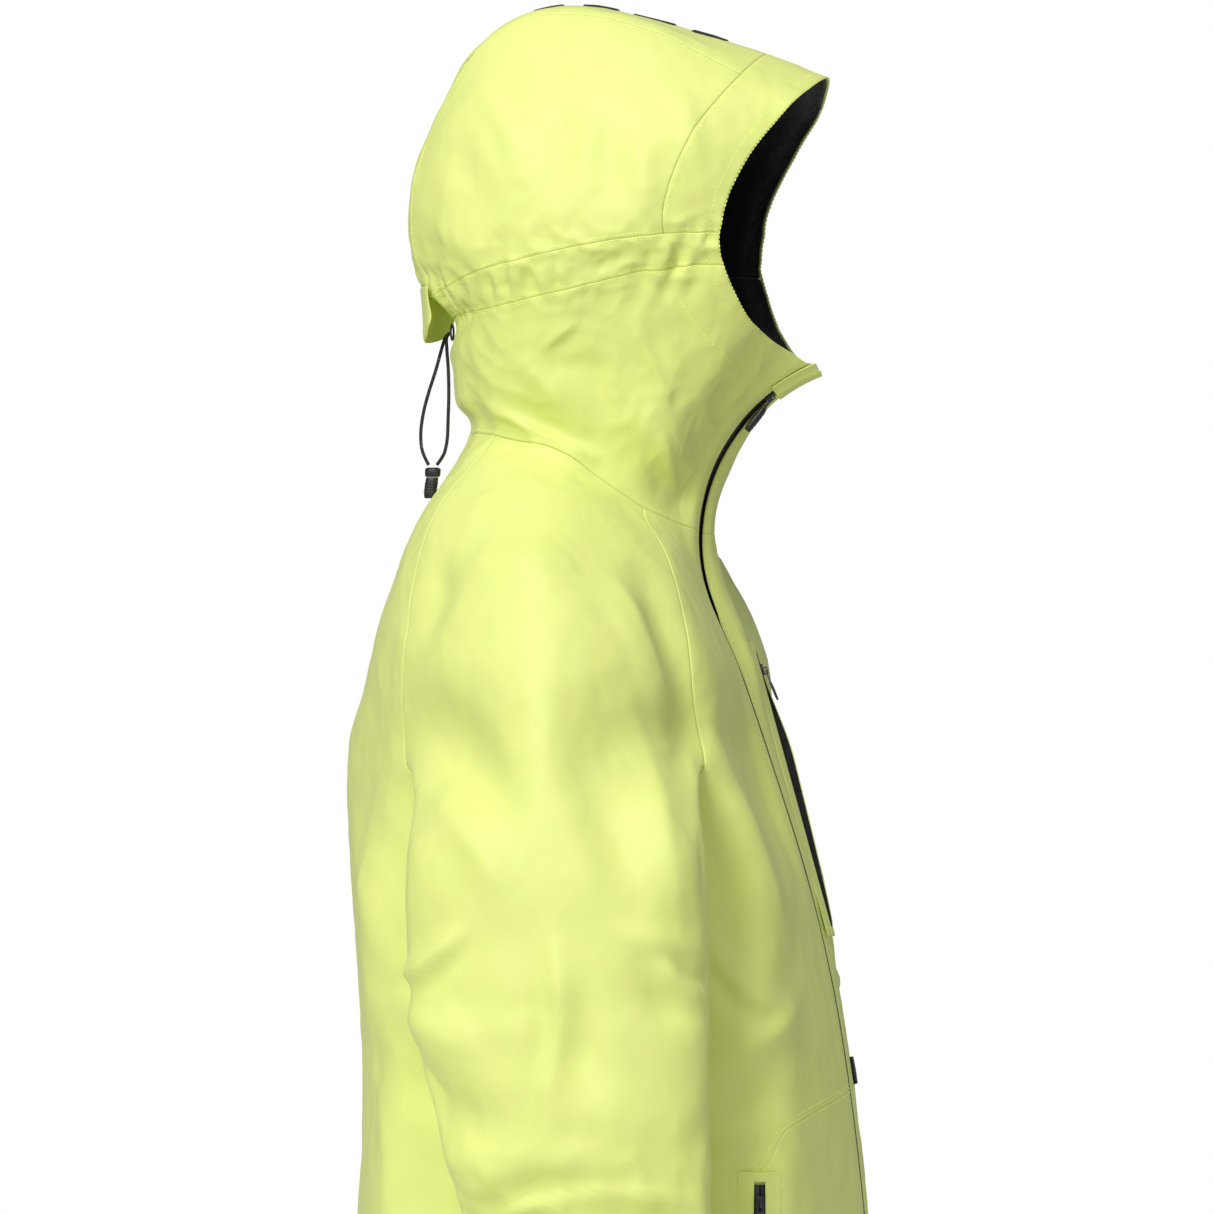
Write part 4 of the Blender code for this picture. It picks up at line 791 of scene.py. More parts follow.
def shoulder_moves(surface):
    """Fill the hollow under the shoulder, and take in the sleeve's swell below it."""
    p = surface.points
    out = smooth_step((np.abs(p[:, 0]) - 0.17) / 0.05)
    reach = 0.010 * bump_at(p[:, 2], -0.155, 0.055) - 0.005 * bump_at(p[:, 2], -0.275, 0.055)
    moves = np.zeros_like(p)
    moves[:, 0] = np.sign(p[:, 0]) * out * reach
    return moves


def evened(values, surface, rounds):
    """Each point's value averaged with its neighbours', so that no stairs show."""
    edges = edge_table(surface)[0]
    count = len(values)
    valence = np.maximum(np.bincount(edges.reshape(-1), minlength=count), 1)
    for _ in range(rounds):
        around = np.bincount(edges[:, 0], values[edges[:, 1]], count)
        around += np.bincount(edges[:, 1], values[edges[:, 0]], count)
        values = 0.5 * values + 0.5 * around / valence
    return values


def fold_moves(surface):
    normals = surface.normals()
    total = np.zeros(len(surface.points))
    for fold in [deeper(f) for f in SLEEVE_FOLDS + BODY_FOLDS] + HOOD_FOLDS:
        total += side_fold(surface.points, normals, fold)
        total += side_fold(surface.points, normals, shifted(fold), mirror=True)
    return normals * evened(total, surface, 3)[:, None]


CRINKLE_SCALES = (26.0, 58.0, 115.0)         # per metre


def crinkle_moves(surface):
    """Small sharp-edged crinkles, strongest at the cinch, the neck and the elbows."""
    p = surface.points
    x, z = np.abs(p[:, 0]), p[:, 2]
    cinch = bump_at(z, cinch_height(p) + 0.012, 0.024) * (z > 0.09)
    neck = bump_at(z, 0.06, 0.055)
    elbow = bump_at(z, -0.515, 0.045) * (x > 0.19)
    coarse = 0.0007 + 0.0010 * neck + 0.0018 * elbow + 0.0008 * cinch
    middle = 0.0003 + 0.0005 * neck + 0.0023 * cinch + 0.0007 * elbow
    small = 0.0001 + 0.0009 * cinch + 0.0002 * elbow
    total = np.zeros(len(p))
    for scale, height in zip(CRINKLE_SCALES, (coarse, middle, small)):
        bent = [Vector((a * scale, b * scale * 0.9, c * scale * 0.80)) for a, b, c in p]
        values = np.array([noise.noise(q) for q in bent])
        total += height * ((1.0 - np.abs(values) * 2.6) - 0.4)
    return surface.normals() * total[:, None]


def cinch_height(p):
    front, back = np.clip(-p[:, 1], 0.0, 0.12), np.clip(p[:, 1] - 0.02, 0.0, 0.1)
    return 0.150 + 0.10 * front - 0.14 * back


GATHER_REACH = 0.034        # the cinch's gathers fade out this far above and below it
GATHER_WAVE = 0.0155
GATHER_HEIGHT = 0.0021


def gather_moves(surface):
    """The small upright ripples that the hood's cinch pulls into the cloth."""
    p = surface.points
    z_mid = cinch_height(p)
    away = np.abs(p[:, 2] - z_mid)
    turn = np.arctan2(np.abs(p[:, 0]), -p[:, 1] + 0.01)
    around = turn * 0.105
    stray = np.sin(around * 97.0 + 1.7 * np.sign(p[:, 0])) + np.sin(around * 41.0 + 0.8)
    wave = np.sin(2.0 * pi * around / GATHER_WAVE + 1.6 * stray + 38.0 * (p[:, 2] - z_mid))
    strength = 0.55 + 0.45 * np.sin(around * 66.0 + 2.1) + 0.35 * bump_at(turn, 2.7, 0.5)
    fade = (1.0 - smooth_step(away / GATHER_REACH)) ** 1.3
    fade = fade * (p[:, 2] > 0.09) * smooth_step((turn - 0.62) / 0.25)
    height = GATHER_HEIGHT * np.clip(strength, 0.12, 1.3) * fade * wave
    return surface.normals() * height[:, None]


# ---------------------------------------------------------------- drape
BUCKLE_ROUNDS = 700          # rounds of relaxing the cloth's threads
BUCKLE_REACH = 0.016         # no point moves further than this
BUCKLE_SEED = 11
SHOVE_ROUNDS = 60            # rounds that smooth the first random shove
SHOVE_HEIGHT = 0.004
BEND_STIFF = 0.012           # share of unwanted bending taken out each round
EDGE_STIFF = 1.6             # over-relaxation of the cloth's length


def cloth_edges(quads):
    """Each thread once: the quads' sides and their two diagonals."""
    sides = [quads[:, [0, 1]], quads[:, [1, 2]], quads[:, [2, 3]], quads[:, [3, 0]]]
    sides = np.unique(np.sort(np.concatenate(sides), axis=1), axis=0)
    return sides, np.concatenate([quads[:, [0, 2]], quads[:, [1, 3]]])


def gathered_sum(values, index, count):
    return np.stack([np.bincount(index, values[:, i], count) for i in range(3)], axis=1)


def open_edge_points(surface):
    """Indices of the points on the surface's open edges."""
    edges, first, second = edge_table(surface)
    return np.unique(edges[first == second])


def line_gap(points, line):
    """Each point's distance from the nearest point of a line."""
    tree = point_tree(line)
    return np.array([tree.find(q)[2] for q in points])


def bump_at(value, centre, width):
    return np.exp(-((value - centre) / width) ** 2)


def hold_and_growth(cloth):
    """How firmly each point is held, and how much more cloth there is in X, Y and Z."""
    p = cloth.points
    x, z = np.abs(p[:, 0]), p[:, 2]
    sleeve = smooth_step((x - 0.165 - 0.35 * np.clip(-0.2 - z, -0.2, 0.06)) / 0.03)
    sleeve *= smooth_step((0.02 - z) / 0.12)
    hood = smooth_step((z - 0.13) / 0.03)
    neck = smooth_step((z + 0.01) / 0.03) * (1.0 - hood)
    trunk = (1.0 - sleeve) * (1.0 - hood) * (1.0 - neck)
    hold = 0.0020 * trunk + 0.0018 * sleeve + 0.006 * neck + 0.010 * hood
    elbow = bump_at(z, -0.50, 0.10)
    wide = 0.016 * trunk + (0.006 + 0.020 * elbow) * sleeve + 0.030 * neck + 0.010 * hood
    tall = 0.012 * trunk + (0.006 + 0.075 * elbow) * sleeve + 0.034 * neck + 0.010 * hood
    gap = line_gap(p, zip_centre())
    near = 1.0 - smooth_step((gap - 0.010) / 0.050)
    hold = np.maximum(hold, near ** 2)
    wrist = smooth_step((-0.60 - z) / 0.07) * (x > 0.21)
    hold = np.maximum(hold, wrist ** 2)
    edge = open_edge_points(cloth)
    hold[edge] = np.maximum(hold[edge], 0.05)
    growth = np.stack([wide, wide, tall], axis=1) * ((1.0 - near) * (1.0 - wrist))[:, None]
    return hold, growth


def buckled(cloth, hold, growth):
    """Cut the cloth a little too large, hold it loosely in place and let it fold."""
    base = cloth.points
    count = len(base)
    rng = np.random.default_rng(BUCKLE_SEED)
    sides, crossings = cloth_edges(cloth.quads)
    threads = np.concatenate([sides, crossings])
    i, j = threads[:, 0], threads[:, 1]
    strength = np.concatenate([np.ones(len(sides)), np.full(len(crossings), 0.25)])
    span = base[j] - base[i]
    rest = np.linalg.norm(span * (1.0 + 0.5 * (growth[i] + growth[j])), axis=1)
    share = np.maximum(np.bincount(i, strength, count) + np.bincount(j, strength, count), 1.0)
    si, sj = sides[:, 0], sides[:, 1]
    valence = np.maximum(np.bincount(si, None, count) + np.bincount(sj, None, count), 1)

    def bend(points):
        total = gathered_sum(points[sj], si, count) + gathered_sum(points[si], sj, count)
        return total / valence[:, None] - points

    own_bend = bend(base)
    shove = rng.normal(size=(count, 3))
    for _ in range(SHOVE_ROUNDS):
        shove += 0.5 * bend(shove)
    shove /= np.abs(shove).max()
    points = base + cloth.normals() * (shove[:, :1] * SHOVE_HEIGHT)
    for _ in range(BUCKLE_ROUNDS):
        ray = points[j] - points[i]
        length = np.linalg.norm(ray, axis=1)
        pull = ray * (strength * (length - rest) / length * 0.5)[:, None]
        move = gathered_sum(pull, i, count) - gathered_sum(pull, j, count)
        points += move * (EDGE_STIFF / share)[:, None]
        points += BEND_STIFF * (bend(points) - own_bend)
        points += (base - points) * hold[:, None]
    move = points - base
    length = np.linalg.norm(move, axis=1)
    cap = BUCKLE_REACH * np.tanh(length / BUCKLE_REACH) / np.maximum(length, 1e-9)
    return displaced(cloth, move * cap[:, None])


# ---------------------------------------------------------------- pieces
def piece(obj, look, slot, *nodes, body=BODY):
    """Give a new object its material and body, and hide the CAD nodes that it stands for; slot is not
    used.
    """
    obj.data.materials.clear()
    obj.data.materials.append(look)
    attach(obj, body)
    if nodes:
        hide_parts(*nodes)
    return obj


def new_object(name, mesh):
    mesh.validate()
    mesh.polygons.foreach_set("use_smooth", [True] * len(mesh.polygons))
    return linked(name, mesh)


def cut_out(surface, chosen):
    """The part of a surface with the chosen quads, and the old index of each of its points."""
    quads = surface.quads[chosen]
    used, local = np.unique(quads, return_inverse=True)
    part = Surface(surface.points[used], local.reshape(-1, 4), surface.marks[chosen],
                   surface.corners[chosen])
    return part, used


RIM_INSET = 0.0011          # a shell panel's edge is rolled over this width
RIM_DROP = 0.00038          # and this far down
LAYER_THICK = 0.0007        # lining, facing and stiffener


def panel_mesh(name, part, thick, rim=True):
    """A closed sheet: the outer face with a rolled rim, and an inner face behind it."""
    mesh = bare_mesh(name, part.points, part.quads)
    layer = mesh.uv_layers.new(name="cloth")
    layer.data.foreach_set("uv", part.corners.reshape(-1).astype(np.float32))
    bm = bmesh.new()
    bm.from_mesh(mesh)
    if rim:
        bmesh.ops.inset_region(bm, faces=bm.faces[:], thickness=RIM_INSET, use_boundary=True,
                               use_even_offset=True)
        bm.verts.ensure_lookup_table()
        for v in bm.verts:
            if v.is_boundary:
                v.co -= v.normal * RIM_DROP
    bm.to_mesh(mesh)
    bm.free()
    obj = linked(name, mesh)
    wall = obj.modifiers.new("wall", "SOLIDIFY")
    wall.thickness = thick
    wall.offset = -1.0
    wall.use_even_offset = False
    made = evaluated_mesh(obj)
    made.name = name
    bpy.data.objects.remove(obj, do_unlink=True)
    return new_object(name, made)


# ---------------------------------------------------------------- laid on the cloth
class Skin:
    """The finished cloth's outer face, for pieces that are laid on it."""

    def __init__(self, surface):
        self.surface = surface
        self.normal_table = surface.normals()
        triangles = np.concatenate([surface.quads[:, [0, 1, 2]], surface.quads[:, [0, 2, 3]]])
        self.triangles = triangles
        points = [tuple(p) for p in surface.points]
        self.tree = BVHTree.FromPolygons(points, triangles.tolist())

    def normal(self, place, face):
        corner = self.triangles[face]
        gap = np.linalg.norm(self.surface.points[corner] - np.array(place), axis=1)
        weight = 1.0 / (gap + 1e-4)
        return Vector(weight @ self.normal_table[corner]).normalized()

    def press(self, point, direction):
        """Where a point meets the cloth, coming in against a direction, and the normal there."""
        direction = Vector(direction).normalized()
        place, _, face, _ = self.tree.ray_cast(Vector(point) + direction * 0.6, -direction)
        if place is None:
            return self.nearest(point)
        return place, self.normal(place, face)

    def nearest(self, point):
        place, _, face, _ = self.tree.find_nearest(Vector(point))
        return place, self.normal(place, face)

    def frames(self, points, calm):
        """Frames along a line on the cloth: place, sideways, outward and forward directions."""
        met = [self.nearest(p) for p in points]
        places = [np.array(p) for p, _ in met]
        outs = [np.array(n) for _, n in met]
        for _ in range(calm):
            outs = [sum(outs[max(i - 1, 0):i + 2]) for i in range(len(outs))]
            outs = [o / np.linalg.norm(o) for o in outs]
        return line_up(places, outs)


def line_up(places, outs):
    frames = []
    last = len(places) - 1
    for i, (place, out) in enumerate(zip(places, outs)):
        along = Vector(places[min(i + 1, last)] - places[max(i - 1, 0)]).normalized()
        out = Vector(out)
        side = along.cross(out).normalized()
        frames.append((Vector(place), side, side.cross(along).normalized(), along))
    return frames


def rounded_profile(half, low, high, corner=0.0004, steps=3):
    """A flat bar's section with rounded edges, as (sideways, outward) points."""
    corner = min(corner, (high - low) / 2, half)
    middles = [(half - corner, high - corner, 0.0), (corner - half, high - corner, 0.5),
               (corner - half, low + corner, 1.0), (half - corner, low + corner, 1.5)]
    section = []
    for x, n, start in middles:
        for i in range(steps + 1):
            turn = pi * (start + 0.5 * i / steps)
            section.append((x + corner * cos(turn), n + corner * sin(turn)))
    return section


def swept_mesh(name, profile, frames, tips=0.0004, scale=None):
    """A closed bar along frames; scale gives each frame's width and height factors."""
    rings = []
    scale = scale or [(1.0, 1.0)] * len(frames)
    middle = sum(n for _, n in profile) / len(profile)
    if tips:
        first, last = frames[0], frames[-1]
        before = (first[0] - frames[1][0]).normalized() * tips
        after = (last[0] - frames[-2][0]).normalized() * tips
        frames = [(first[0] + before, *first[1:])] + list(frames) + [(last[0] + after, *last[1:])]
        ends = 0.0004 / max(abs(x) for x, _ in profile)
        small = max(0.55, 1.0 - ends * 1.6)
        scale = [scale[0]] + list(scale) + [scale[-1]]
        scale[0] = tuple(s * small for s in scale[0])
        scale[-1] = tuple(s * small for s in scale[-1])
    for (place, side, out, _), (wide, tall) in zip(frames, scale):
        rings.append([place + side * x * wide + out * (middle + (n - middle) * tall)
                      for x, n in profile])
    return tube_mesh(name, rings)


def tube_mesh(name, rings):
    """A closed bar from rings of points, with a flat face over each end."""
    count = len(rings[0])
    points = [p for ring in rings for p in ring]
    faces = []
    for low in range(0, len(points) - count, count):
        for i in range(count):
            j = (i + 1) % count
            faces.append((low + i, low + j, low + count + j, low + count + i))
    faces.append(tuple(range(count)))
    faces.append(tuple(range(len(points) - count, len(points))))
    return closed_mesh(name, points, faces)


def plate_mesh(name, outer, inner, rows, columns):
    """A closed plate from the grids of points on its outer and inner faces."""
    faces = []
    half = rows * columns
    for r in range(rows - 1):
        for c in range(columns - 1):
            i = r * columns + c
            faces.append((i, i + columns, i + columns + 1, i + 1))
            faces.append((half + i, half + i + 1, half + i + columns + 1, half + i + columns))
    loop = list(range(columns)) + [r * columns + columns - 1 for r in range(1, rows)]
    loop += [half - 1 - c for c in range(1, columns)] + [r * columns for r in range(rows - 2, 0, -1)]
    for i, j in zip(loop, loop[1:] + loop[:1]):
        faces.append((i, j, half + j, half + i))
    return closed_mesh(name, outer + inner, faces)


def closed_mesh(name, points, faces):
    mesh = bare_mesh(name, points, faces)
    bm = bmesh.new()
    bm.from_mesh(mesh)
    bmesh.ops.recalc_face_normals(bm, faces=bm.faces[:])
    bm.to_mesh(mesh)
    bm.free()
    return mesh


def joined(name, meshes):
    """One mesh from several."""
    bm = bmesh.new()
    for mesh in meshes:
        bm.from_mesh(mesh)
        bpy.data.meshes.remove(mesh)
    made = bpy.data.meshes.new(name)
    bm.to_mesh(made)
    bm.free()
    return made


def softened(name, mesh, angle=35.0):
    """A new object, smooth but for edges sharper than an angle."""
    obj = new_object(name, mesh)
    obj.data.set_sharp_from_angle(angle=radians(angle))
    return obj


def bevelled_copy(name, node, width, share):
    """A finer copy of a CAD node: welded, its flat faces joined, and its edges rounded."""
    source = frame["nodes"][node]
    bm = bmesh.new()
    bm.from_mesh(source.data)
    bm.transform(source.matrix_world)
    bmesh.ops.remove_doubles(bm, verts=bm.verts[:], dist=1e-6)
    bmesh.ops.dissolve_limit(bm, angle_limit=radians(1.0), verts=bm.verts[:], edges=bm.edges[:])
    sharp = [e for e in bm.edges if len(e.link_faces) == 2 and e.calc_face_angle() > radians(24.0)]
    bmesh.ops.bevel(bm, geom=sharp, offset=width, offset_type="OFFSET", segments=2,
                    profile=0.6, affect="EDGES", clamp_overlap=True)
    bmesh.ops.recalc_face_normals(bm, faces=bm.faces[:])
    centre = sum((v.co for v in bm.verts), Vector()) / len(bm.verts)
    for vert in bm.verts:
        vert.co = centre + (vert.co - centre) * share
    mesh = bpy.data.meshes.new(name)
    bm.to_mesh(mesh)
    bm.free()
    return softened(name, mesh, 40.0)


def moulded(name, node, width, look, slot, body=BODY, share=1.0):
    """A finer copy of a CAD node as the piece that stands for it."""
    return piece(bevelled_copy(name, node, width, share), look, slot, node, body=body)


STITCH_PITCH = 0.0034
STITCH_LENGTH = 0.0024
STITCH_RADIUS = 0.00034
STITCH_SUNK = 0.00012       # how deep the thread lies in the cloth


def stitch_ring(place, side, out, radius):
    """Half a ring of points that stands on the cloth."""
    turns = [pi * turn for turn in (0.0, 0.25, 0.5, 0.75, 1.0)]
    return [place + side * cos(a) * radius + out * (sin(a) * radius - STITCH_SUNK) for a in turns]


def stitch_row(skin, points, pitch=STITCH_PITCH):
    """Rounded stitches in a row along a line on the cloth: points and faces."""
    line = [Vector(p) for p in points]
    length = sum((b - a).length for a, b in zip(line, line[1:]))
    count = max(2, int(length / pitch))
    dense = even_curve(line, count * 4)
    frames = skin.frames(dense, 1)
    points, faces = [], []
    sizes = (0.35, 0.95, 1.0, 0.35)
    share = STITCH_LENGTH / STITCH_PITCH
    for stitch in range(count):
        base = len(points)
        place, side, out, _ = frames[stitch * 4 + 1]
        after = frames[stitch * 4 + 3]
        reach = (after[0] - place).normalized() * pitch * share / 2
        middle = (place + after[0]) / 2
        for t, size in zip((-1.0, -0.7, 0.7, 1.0), sizes):
            points += stitch_ring(middle + reach * t, side, out, STITCH_RADIUS * size)
        for ring in range(3):
            for i in range(4):
                low = base + ring * 5 + i
                faces.append((low, low + 1, low + 6, low + 5))
            low = base + ring * 5
            faces.append((low + 4, low, low + 5, low + 9))
        faces.append(tuple(base + i for i in range(4, -1, -1)))
        faces.append(tuple(base + 15 + i for i in range(5)))
    return points, faces


def stitched(name, skin, rows, look, pitch=STITCH_PITCH):
    """One piece with several rows of stitches."""
    points, faces = [], []
    for row in rows:
        if len(row) < 2:
            continue
        more, quads = stitch_row(skin, row, pitch)
        base = len(points)
        points += more
        faces += [tuple(base + i for i in f) for f in quads]
    obj = new_object(name, closed_mesh(name, points, faces))
    return piece(obj, look, "shell_fabric")


def chained(edges):
    """Pairs of point indices put together into lines."""
    beside = {}
    for i, j in edges:
        beside.setdefault(i, []).append(j)
        beside.setdefault(j, []).append(i)
    lines, left = [], set(beside)
    while left:
        ends = [i for i in left if len(beside[i]) == 1]
        line = [min(ends or left)]
        left.discard(line[0])
        onward = beside[line[0]]
        while onward:
            line.append(onward[0])
            left.discard(onward[0])
            onward = [i for i in beside[line[-1]] if i in left]
        lines.append(line)
    return lines


def edge_table(surface):
    """Each quad edge once, with its first and second quad (the same quad on an open edge)."""
    a = surface.quads.reshape(-1)
    b = np.roll(surface.quads, -1, axis=1).reshape(-1)
    owner = np.repeat(np.arange(len(surface.quads)), 4)
    key = np.minimum(a, b).astype(np.int64) * (len(surface.points) + 1) + np.maximum(a, b)
    order = np.argsort(key, kind="stable")
    key, owner = key[order], owner[order]
    start = np.flatnonzero(np.r_[True, key[1:] != key[:-1]])
    stop = np.r_[start[1:], len(key)] - 1
    first, second = np.divmod(key[start], len(surface.points) + 1)
    return np.stack([first, second], axis=1), owner[start], owner[stop]


def seam_lines(surface, panel_of_mark):
    """The lines where two panels are sewn, with the two panels' names."""
    edges, first, second = edge_table(surface)
    names = np.array(panel_of_mark)
    one, other = names[surface.marks[first]], names[surface.marks[second]]
    found = {}
    for edge, p, q in zip(edges[one != other].tolist(), one[one != other], other[one != other]):
        found.setdefault(tuple(sorted((p, q))), []).append(edge)
    return [(pair, [Vector(surface.points[i]) for i in line])
            for pair in sorted(found) for line in chained(found[pair])]


def open_edge_lines(surface):
    """The surface's open edges as lines of points."""
    edges, first, second = edge_table(surface)
    return [[Vector(surface.points[i]) for i in line]
            for line in chained(edges[first == second].tolist())]


def beside_line(skin, line, distance, ends=0.006):
    """A line on the cloth beside another, at a distance; the sign picks the side."""
    length = sum((b - a).length for a, b in zip(line, line[1:]))
    if length < 0.03:
        return []
    dense = even_curve(line, max(8, int(length / 0.006)))
    trim = max(1, int(ends / 0.006))
    frames = skin.frames(dense[trim:-trim], 2)
    return [skin.nearest(place + side * distance)[0] for place, side, _, _ in frames]


# ---------------------------------------------------------------- front zip
LIP_GAP = 0.0036            # half the width left open over the front zip
LIP_REACH = 0.012           # the cloth is drawn in over this width
LIP_SINK = 0.0005           # and drawn down by this much at its edge
LIFT_REACH = 0.022          # cloth that lies lower than the zip is lifted level with it, this far out
LIFT_MOST = 0.008
LIP_LOW = 0.0011            # the wearer's left lip is left this much lower, clear of the slider


def zip_line_frames():
    """Frames down the whole front zip, close together."""
    arc = [arc_frame(a) for a in np.linspace(ZIP_TOP - radians(1.0), ZIP_ARC_END, 90)]
    _, chest, lower = zip_rows()
    lowest = arc[-1][0].z - 0.012
    keys = [arc[-1][0]] + [p for p in chest + lower[1:] if p.z < lowest]
    keys[-1] = keys[-1].lerp(keys[-2], 0.06)
    points = even_curve(keys, 190)
    return arc[:-1] + line_frames(points)


RIDGE_AWAY = 0.026          # the cloth on the wearer's left of the zip stands out this far away
RIDGE_WIDTH = 0.022
RIDGE_START = 0.006         # below the throat the cloth stays low until this far from the zip
RIDGE_HEIGHT = [(0.13, 0.002), (0.10, 0.009), (0.04, 0.014), (-0.01, 0.012), (-0.08, 0.011),
                (-0.14, 0.009), (-0.22, 0.006), (-0.33, 0.002), (-0.74, 0.0)]


def zip_ridge_moves(surface):
    """The loose cloth beside the zip, on the wearer's left, stands out in a soft ridge."""
    frames = zip_line_frames()
    tree = point_tree([frame[0] for frame in frames])
    near = np.flatnonzero((surface.points[:, 0] > -0.06) & (surface.points[:, 1] < -0.02))
    moves = np.zeros_like(surface.points)
    heights = np.array(RIDGE_HEIGHT[::-1])
    for i in near:
        point = Vector(surface.points[i])
        _, nearest, gap = tree.find(point)
        if gap > RIDGE_AWAY + RIDGE_WIDTH * 2.2:
            continue
        place, side, out, _ = frames[nearest]
        away = (point - place).dot(side)
        start = RIDGE_START * float(smooth_step((-0.09 - point.z) / 0.04))
        rise = exp(-((away - RIDGE_AWAY) / RIDGE_WIDTH) ** 2)
        rise *= float(smooth_step((away - start) / 0.012))
        moves[i] = np.array(out) * (rise * np.interp(point.z, heights[:, 0], heights[:, 1]))
    return moves


def zip_closing(surface):
    """Draw the panels' front edges in over the zip and a little down on to it."""
    frames = zip_line_frames()
    tree = point_tree([frame[0] for frame in frames])
    normals = surface.normals()
    moves = np.zeros_like(surface.points)
    for i, point in enumerate(surface.points):
        _, nearest, gap = tree.find(point)
        if gap > ZIP_GAP + LIFT_REACH:
            continue
        place, side, out, _ = frames[nearest]
        ray = Vector(point) - place
        away = ray.dot(side)
        t = float(smooth_step((abs(away) - ZIP_GAP) / LIP_REACH))
        inward = -copysign(ZIP_GAP - LIP_GAP, away) * (1.0 - t)
        sink = LIP_SINK * (1.0 - t)
        far = float(smooth_step((abs(away) - ZIP_GAP) / LIFT_REACH))
        low = LIP_LOW if away > 0.0 else 0.0
        lift = min(LIFT_MOST, max(0.0, -low - ray.dot(out))) * (1.0 - far)
        moves[i] = np.array(side) * inward - normals[i] * sink + np.array(out) * lift
    return moves


STORM_START = 22            # the storm flap starts at this frame of the zip's line
SLIDER_SHARE = 0.90         # a slider drawn a little small runs clear of the bent coils


def build_front_zip(looks):
    frames = zip_line_frames()
    for side in SIDES:
        sign = -SIDES[side]
        half = [(0.0007, -0.0010), (0.0007, -0.0028), (TAPE_HALF, -0.0028), (TAPE_HALF, -0.0023),
                (0.0036, -0.0021), (0.0030, -0.0012), (0.0022, -0.0007), (0.0011, -0.0006)]
        profile = [(x * sign, n) for x, n in half]
        dense = doubled(doubled(frames))
        ribs = [(1.0, 1.0 + 0.07 * (i % 2)) for i in range(len(dense))]
        name = "front_zip_tape_" + side
        obj = softened(name + "_coil", swept_mesh(name, profile, dense, 0.0, ribs), 30.0)
        piece(obj, looks["tape"], "zip_tape", name)
    mesh = swept_mesh("flap", rounded_profile(0.0090, -0.0070, -0.0062), frames[STORM_START:])
    flap = softened("front_zip_storm_flap_cloth", mesh)
    piece(flap, looks["facing"], "facing", "front_zip_storm_flap")
    moulded("front_zip_box_moulded", "front_zip_box", 0.0005, looks["plastic"], "zip_hardware")
    moulded("front_zip_slider_cast", "front_zip_slider", 0.00022, looks["metal"], "zip_hardware",
            "main_slider", SLIDER_SHARE)
    build_puller("front_zip_puller", arc_frame(SLIDER_REST), FRONT_PULLER, FRONT_HANG, 0.0024,
                 looks, "main_puller")
    build_garage(looks)


def doubled(frames):
    """The frames with one more halfway between each two."""
    more = []
    for a, b in zip(frames, frames[1:]):
        more.append(a)
        more.append(tuple((p + q) / 2 if k == 0 else (p + q).normalized()
                          for k, (p, q) in enumerate(zip(a, b))))
    return more + [frames[-1]]


def build_puller(node, at, size, hang, thick, looks, body):
    """The puller's plate, and the ribbed grip moulded over its lower part."""
    moulded(node + "_plate", node, 0.00016, looks["metal"], "zip_puller", body)
    place, side, out, up = at
    length, width = size
    pivot = place + up * PIVOT_UP + out * PIVOT_OUT
    down = (-up * cos(hang) + out * sin(hang)).normalized()
    face = down.cross(side).normalized()
    steps = 36
    frames, scale = [], []
    for i in range(steps + 1):
        t = i / steps
        distance = 0.0092 + (length - 0.0092) * t
        frames.append((pivot + down * distance, side, face, down))
        end = min(t, 1.0 - t) * (length - 0.0092) / (width * 0.42)
        wide = sqrt(max(0.0, 1.0 - (1.0 - min(end, 1.0)) ** 2)) * 0.55 + 0.45
        taper = 1.0 - 0.14 * t
        rib = 0.10 * (0.5 + 0.5 * cos(2.0 * pi * t * 6.0)) * smooth_step(t * 5.0)
        scale.append((wide * taper, 0.82 + 0.18 * sin(pi * t) + float(rib)))
    profile = rounded_profile(width * 0.5, -thick, thick, thick * 0.8, 4)
    grip = softened(node + "_grip", swept_mesh("grip", profile, frames, 0.0003, scale), 50.0)
    piece(grip, looks["plastic"], "zip_puller", body=body)


def smooth_section(points, steps, closed=True):
    """A section's corners rounded off with a curve through them."""
    keys = [Vector((x, n, 0.0)) for x, n in points]
    count = len(keys) if closed else len(keys) - 1
    return [(p.x, p.y) for p in curve_through(keys, [steps] * count, closed)]


def build_garage(looks):
    """The fabric tunnel over the top of the zip, with a turned hem."""
    top = [(-0.0150, 0.0003), (-0.0098, 0.0032), (-0.0060, 0.0060), (0.0, 0.0066),
           (0.0060, 0.0060), (0.0098, 0.0032), (0.0150, 0.0003)]
    outer = smooth_section(top, 4, closed=False)
    inner = [(x * 0.955, n - 0.0009) for x, n in reversed(outer)]
    cover = [arc_frame(a) for a in np.linspace(ZIP_TOP, GARAGE_HEM, 30)]
    scale = []
    for i in range(30):
        t = i / 29
        hem = 0.035 * exp(-((t - 0.90) / 0.05) ** 2)
        scale.append((1.0 + 0.010 * sin(9.0 * t), 1.0 + hem - 0.03 * sin(pi * t)))
    obj = softened("zip_garage_cloth", swept_mesh("garage", outer + inner, cover, 0.0004, scale), 60.0)
    piece(obj, looks["shell"], "shell_fabric", "zip_garage")


# ---------------------------------------------------------------- pockets
def cage_hit(tree, point, direction):
    """Where the CAD's plain shell is met from outside."""
    hit = tree.ray_cast(Vector(point) + direction * 0.6, -direction)[0]
    return hit if hit is not None else Vector(point)


def pocket_line(tree, start, end, direction, lift):
    """The frame at the top of a pocket's zip, and the zip's length."""
    high = cage_hit(tree, start, direction) + direction * lift
    low = cage_hit(tree, end, direction) + direction * lift
    up = (high - low).normalized()
    side = direction.cross(up).normalized()
    return (high, side, up.cross(side).normalized(), up), (high - low).length


